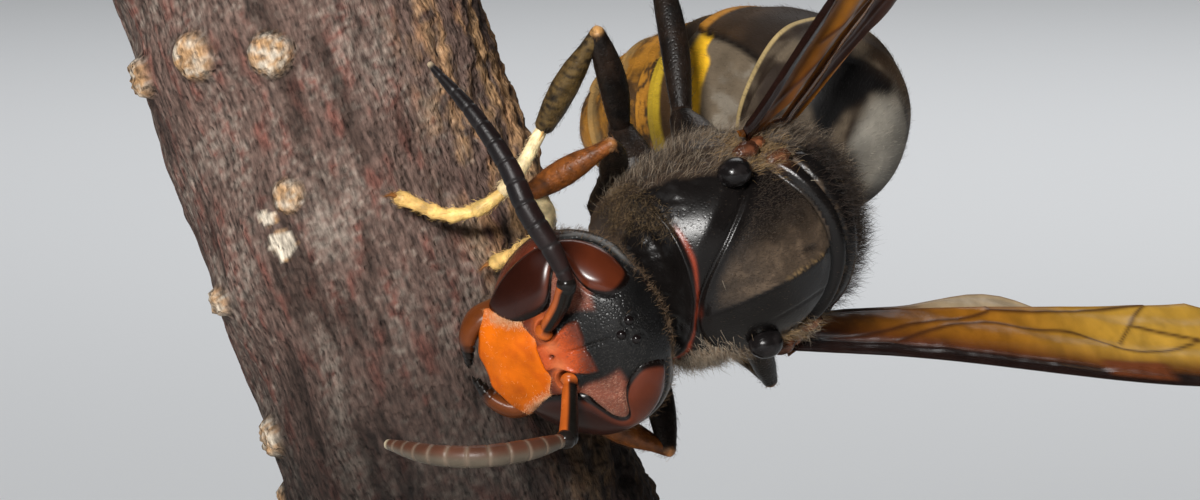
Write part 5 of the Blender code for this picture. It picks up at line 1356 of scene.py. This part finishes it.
# Each coat's weight says where it grows on its skin, as bells and smooth steps of the place.
def makeCoats(thoraxParts, headParts, clypeus, gasterRoots, legGrids):
    rng = np.random.default_rng(101)

    # One coat in a body frame: roots drawn by weight, then the strands' ways, lengths, radii and tones.
    def coat(name, weights, fromFrame, points, outward, aim=None, slot="chitin"):
        plan = coats[name]
        count = plan["count"]
        roots, ways, unwrap, _ = sampleSheet(points, outward, weights, count, rng)
        lies = np.array(plan["way"]) if aim is None else roots - np.array(aim)
        lies = lies + rng.normal(0, plan["spread"], (count, 3))
        growHair(f"coat_{name}", fromFrame(roots), waysFrom(fromFrame, ways), waysFrom(fromFrame, lies),
                 rng.uniform(*plan["lengths"], count), rng.uniform(*plan["radii"], count), unwrap,
                 mix(*plan["tones"], rng.random(count)), plan["lift"], rng)

    _, local, normals = thoraxParts
    thorax = (fromThorax, local, normals)
    x, y, z = np.moveaxis(local, -1, 0)
    plan, suture, front, scutellum, post = thoraxLines(local)
    flank = (1 - bareShare(local)) * smoothStep(0.10, -0.10, front * (z > -0.9))
    upper = smoothStep(-2.0, -0.6, z)
    coat("flanks_down", flank * smoothStep(2.5, 2.2, y) * (0.25 + 0.75 * upper), *thorax)
    coat("flanks_long", flank * smoothStep(2.5, 2.2, y) * upper, *thorax)
    nape = smoothStep(1.95, 2.15, y) * smoothStep(0.95, 1.5, x) * smoothStep(-1.4, -0.6, z)
    coat("nape", nape + 1e-5, *thorax)
    wingFoot = np.hypot(np.abs(x) - 2.3, np.hypot(y + 0.6, z - 1.1))
    coat("wing_roots", bell(wingFoot, 0.65) * (0.2 + flank) + 1e-4, *thorax)
    clump = bell(np.hypot(x + 2.23, np.hypot(y - 1.54, z - 0.76)), 0.55) + 0.5 * bell(
        np.hypot(x + 2.20, np.hypot(y + 0.86, z - 1.33)), 0.40)
    coat("left_tufts", clump + 1e-5, *thorax)
    tail = smoothStep(-1.75, -2.2, y) * smoothStep(-1.0, 0.5, z)
    coat("rear", tail + 0.4 * bell(post, 0.08) * (z > 0.5), *thorax)
    # fine brown hair on the back's right half only, where the sheen is painted
    dustAndSheen = smoothStep(0.0, 0.25, plan) * smoothStep(-0.1, -0.4, suture) * smoothStep(0.05, 0.3, scutellum) * (z > 1.3)
    coat("scutum_down", dustAndSheen + 0.03 * (z > 1.6) + 1e-4, *thorax)

    _, local, normals = headParts
    head = (fromHead, local, normals)
    x, y, z = np.moveaxis(local, -1, 0)
    coat("occiput", smoothStep(0.25, -0.35, y) * smoothStep(-0.98, -0.7, y) + 1e-4, *head)
    coat("frons", smoothStep(0.3, 0.8, y) * smoothStep(0.2, 0.5, z) + 1e-4, *head)
    across = 0.469 * np.abs(x) - 0.883 * y
    sinus = smoothStep(-0.60, -0.46, across) * smoothStep(0.05, 0.25, z) * smoothStep(1.3, 1.1, z)
    coat("sinus", sinus * smoothStep(0.2, 0.6, y) + 1e-5, *head)
    x, y, z = np.moveaxis(clypeus, -1, 0)
    share = np.linspace(0, 1.12, len(clypeus))[:, None] + 0 * x
    weights = smoothStep(0.70, 0.95, share) * smoothStep(0.3, 0.9, np.abs(x)) * smoothStep(-1.9, -1.0, z)
    coat("clypeus", (weights + 0.006) * (share < 0.99), fromHead, clypeus, gridNormals(clypeus),
         coats["clypeus"]["centre"], "face")

    plan = coats["gaster"]
    for number, (points, way, skin) in enumerate(gasterRoots, 1):
        count = plan["counts"][number - 1]
        weights = smoothStep(-0.02, 0.1, way) * smoothStep(1.02, 0.98, way) + 0.001
        roots, ways, unwrap, (i, j) = sampleSheet(points, gridNormals(points), weights, count, rng)
        along = unit(np.gradient(points, axis=0))[i, j]
        tones = mix(skin[i, j] * 0.7, skin[i, j] * 2.0 + 0.003, rng.random(count))
        lengths = rng.uniform(*plan["lengths"], count) * (1 + (rng.random(count) < plan["longShare"]))
        radii, lift = rng.uniform(*plan["radii"], count), rng.uniform(*plan["lift"], count)
        growHair(f"coat_gaster_{number}", fromSpecimen(roots), waysFrom(fromSpecimen, ways),
                 waysFrom(fromSpecimen, along), lengths, radii,
                 unwrap * (1, 1 / 6) + (0, (number - 1) / 6), tones, lift,
                 rng)

    plan = coats["leg"]
    for name, sheets in legGrids.items():
        parts = []
        for item in sheets:
            points = item["points"]
            if len(points) < 28:  # claws, spurs and pads stay bare
                continue
            size = np.linalg.norm(points[0] - points[len(points) // 2])
            count = int(plan["perMillimetre"] * max(size, 1.0))
            weights = np.ones(points.shape[:2])
            roots, ways, unwrap, (i, j) = sampleSheet(points, gridNormals(points), weights, count, rng)
            along = unit(np.gradient(points, axis=0))[i, j]
            tones = mix(item["colour"][i, j] * 0.8, item["colour"][i, j] * 1.6 + 0.02, rng.random(count))
            parts.append((roots, ways, along, unwrap, tones))
        roots, ways, along, unwrap, tones = (np.concatenate([part[k] for part in parts]) for k in range(5))
        count = len(roots)
        growHair(f"coat_leg_{name}", roots, ways, along, rng.uniform(*plan["lengths"], count),
                 rng.uniform(*plan["radii"], count), unwrap, tones, plan["lift"], rng)


view = {"distance": 180.0, "frameWidth": 28.235, "sensor": 36.0}


# Camera at the photo's angle, along the specimen's away axis: lens = sensor width x distance / frame width.
def makeCamera():
    camera = bpy.data.cameras.new("camera")
    camera.sensor_width = view["sensor"]
    camera.lens = view["sensor"] * view["distance"] / view["frameWidth"]
    camera.clip_start = 0.01
    camera.clip_end = 10.0
    holder = bpy.data.objects.new("camera", camera)
    bpy.context.scene.collection.objects.link(holder)
    matrix = np.eye(4)
    right, away, up = specimenAxes.T
    matrix[:3, 0], matrix[:3, 1], matrix[:3, 2] = right, up, -away
    matrix[:3, 3] = (np.array(pose["origin"]) - away * view["distance"]) * mm
    holder.matrix_world = Matrix(matrix.tolist())
    bpy.context.scene.camera = holder


floorLook = {"reach": 3.0, "tones": ((0.70, 0.72, 0.745, 1), (0.76, 0.775, 0.79, 1)), "roughness": 0.9}


# Square floor of two close greys, mixed by slow noise.
def makeFloor():
    mesh = bpy.data.meshes.new("floor")
    size = floorLook["reach"]
    mesh.from_pydata([(-size, -size, 0), (size, -size, 0), (size, size, 0), (-size, size, 0)], [], [(0, 1, 2, 3)])
    floor = bpy.data.objects.new("floor", mesh)
    bpy.context.scene.collection.objects.link(floor)
    material = bpy.data.materials.new("floorPaper")
    material.use_nodes = True
    nodes, links = material.node_tree.nodes, material.node_tree.links
    shader = nodes["Principled BSDF"]
    place = nodes.new("ShaderNodeTexCoord")
    noise = nodes.new("ShaderNodeTexNoise")
    noise.inputs["Scale"].default_value = 3.0
    links.new(place.outputs["Object"], noise.inputs["Vector"])
    ramp = nodes.new("ShaderNodeMix")
    ramp.data_type = "RGBA"
    ramp.inputs["A"].default_value, ramp.inputs["B"].default_value = floorLook["tones"]
    links.new(noise.outputs["Fac"], ramp.inputs["Factor"])
    links.new(ramp.outputs["Result"], shader.inputs["Base Color"])
    shader.inputs["Roughness"].default_value = floorLook["roughness"]
    mesh.materials.append(material)


# places and sizes in millimetres of the specimen frame, power in watts, spread in degrees
lamps = {
    "key": {"place": (-62, -280, 84), "aim": (0, 0, 0), "size": (72, 52), "power": 1.40,
            "colour": (1.0, 0.985, 0.96), "spread": 180},
    "fill": {"place": (-230, -150, 200), "aim": (0, 0, 0), "size": (160, 160), "power": 0.04,
             "colour": (0.93, 0.96, 1.0), "spread": 180},
    "backdrop": {"place": (60, 300, 330), "aim": (20, 290, -20), "size": (300, 300), "power": 0.42,
                 "colour": (1.0, 1.0, 1.0), "spread": 110},
}
sky = {"tone": (0.86, 0.90, 0.95, 1), "strength": 0.03}


# Oval lamp at a place in the specimen frame, turned toward the aim.
def addLight(name, place, aim, size, power, colour, spread):
    lamp = bpy.data.lights.new(name, "AREA")
    lamp.spread = math.radians(spread)
    lamp.shape = "ELLIPSE"
    lamp.size, lamp.size_y = size[0] * mm, size[1] * mm
    lamp.energy = power
    lamp.color = colour
    holder = bpy.data.objects.new(name, lamp)
    bpy.context.scene.collection.objects.link(holder)
    at, to = fromSpecimen(place) * mm, fromSpecimen(aim) * mm
    back = unit(at - to)
    side = unit(np.cross((0, 0, 1), back))
    matrix = np.eye(4)
    matrix[:3, 0], matrix[:3, 1], matrix[:3, 2], matrix[:3, 3] = side, np.cross(back, side), back, at
    holder.matrix_world = Matrix(matrix.tolist())


# The lamps and a faint sky.
def makeLights():
    for name, plan in lamps.items():
        addLight(name, **plan)
    world = bpy.data.worlds.new("studio")
    world.use_nodes = True
    world.node_tree.nodes["Background"].inputs["Color"].default_value = sky["tone"]
    world.node_tree.nodes["Background"].inputs["Strength"].default_value = sky["strength"]
    bpy.context.scene.world = world
    bpy.context.scene.view_settings.view_transform = "Standard"


standFinish = {"stand_base": ((0.50, 0.49, 0.47, 1), 0.0), "stand_rod": ((0.46, 0.46, 0.47, 1), 1.0)}


# Plain materials for the two stand nodes: one tone with fine noise as bump.
def paintStand():
    for name, (tone, metallic) in standFinish.items():
        material = bpy.data.materials.new(f"{name}_finish")
        material.use_nodes = True
        nodes, links = material.node_tree.nodes, material.node_tree.links
        shader = nodes["Principled BSDF"]
        shader.inputs["Base Color"].default_value = tone
        shader.inputs["Roughness"].default_value = 0.42
        shader.inputs["Metallic"].default_value = metallic
        place = nodes.new("ShaderNodeTexCoord")
        grain = nodes.new("ShaderNodeTexNoise")
        grain.inputs["Scale"].default_value = 4000.0
        bump = nodes.new("ShaderNodeBump")
        bump.inputs["Distance"].default_value = 0.000004
        links.new(place.outputs["Object"], grain.inputs["Vector"])
        links.new(grain.outputs["Fac"], bump.inputs["Height"])
        links.new(bump.outputs["Normal"], shader.inputs["Normal"])
        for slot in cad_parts[name].material_slots:
            slot.material = material


makeCamera()
makeFloor()
makeLights()
print("camera, floor and lights are set")
thoraxParts = makeThorax()
neck = makeNeck()
headParts = makeHead()
clypeusPiece, clypeusLocal = makeClypeus()
for piece, slotName in ((thoraxParts[0], "chitin"), (neck, "chitin"), (headParts[0], "chitin"), (clypeusPiece, "face")):
    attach(piece, "root")
makeMandibles()
makeFeelers()
print("head, feelers and thorax are made")
gaster, gasterRoots = makeGaster()
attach(gaster, "root")
makeWings()
makeTegulae()
legGrids = makeLegs()
print("gaster, wings and legs are made")
makeCoats(thoraxParts, headParts, clypeusLocal, gasterRoots, legGrids)
print("hair is grown")
makeBranch()
paintStand()
print("branch and stand are made")
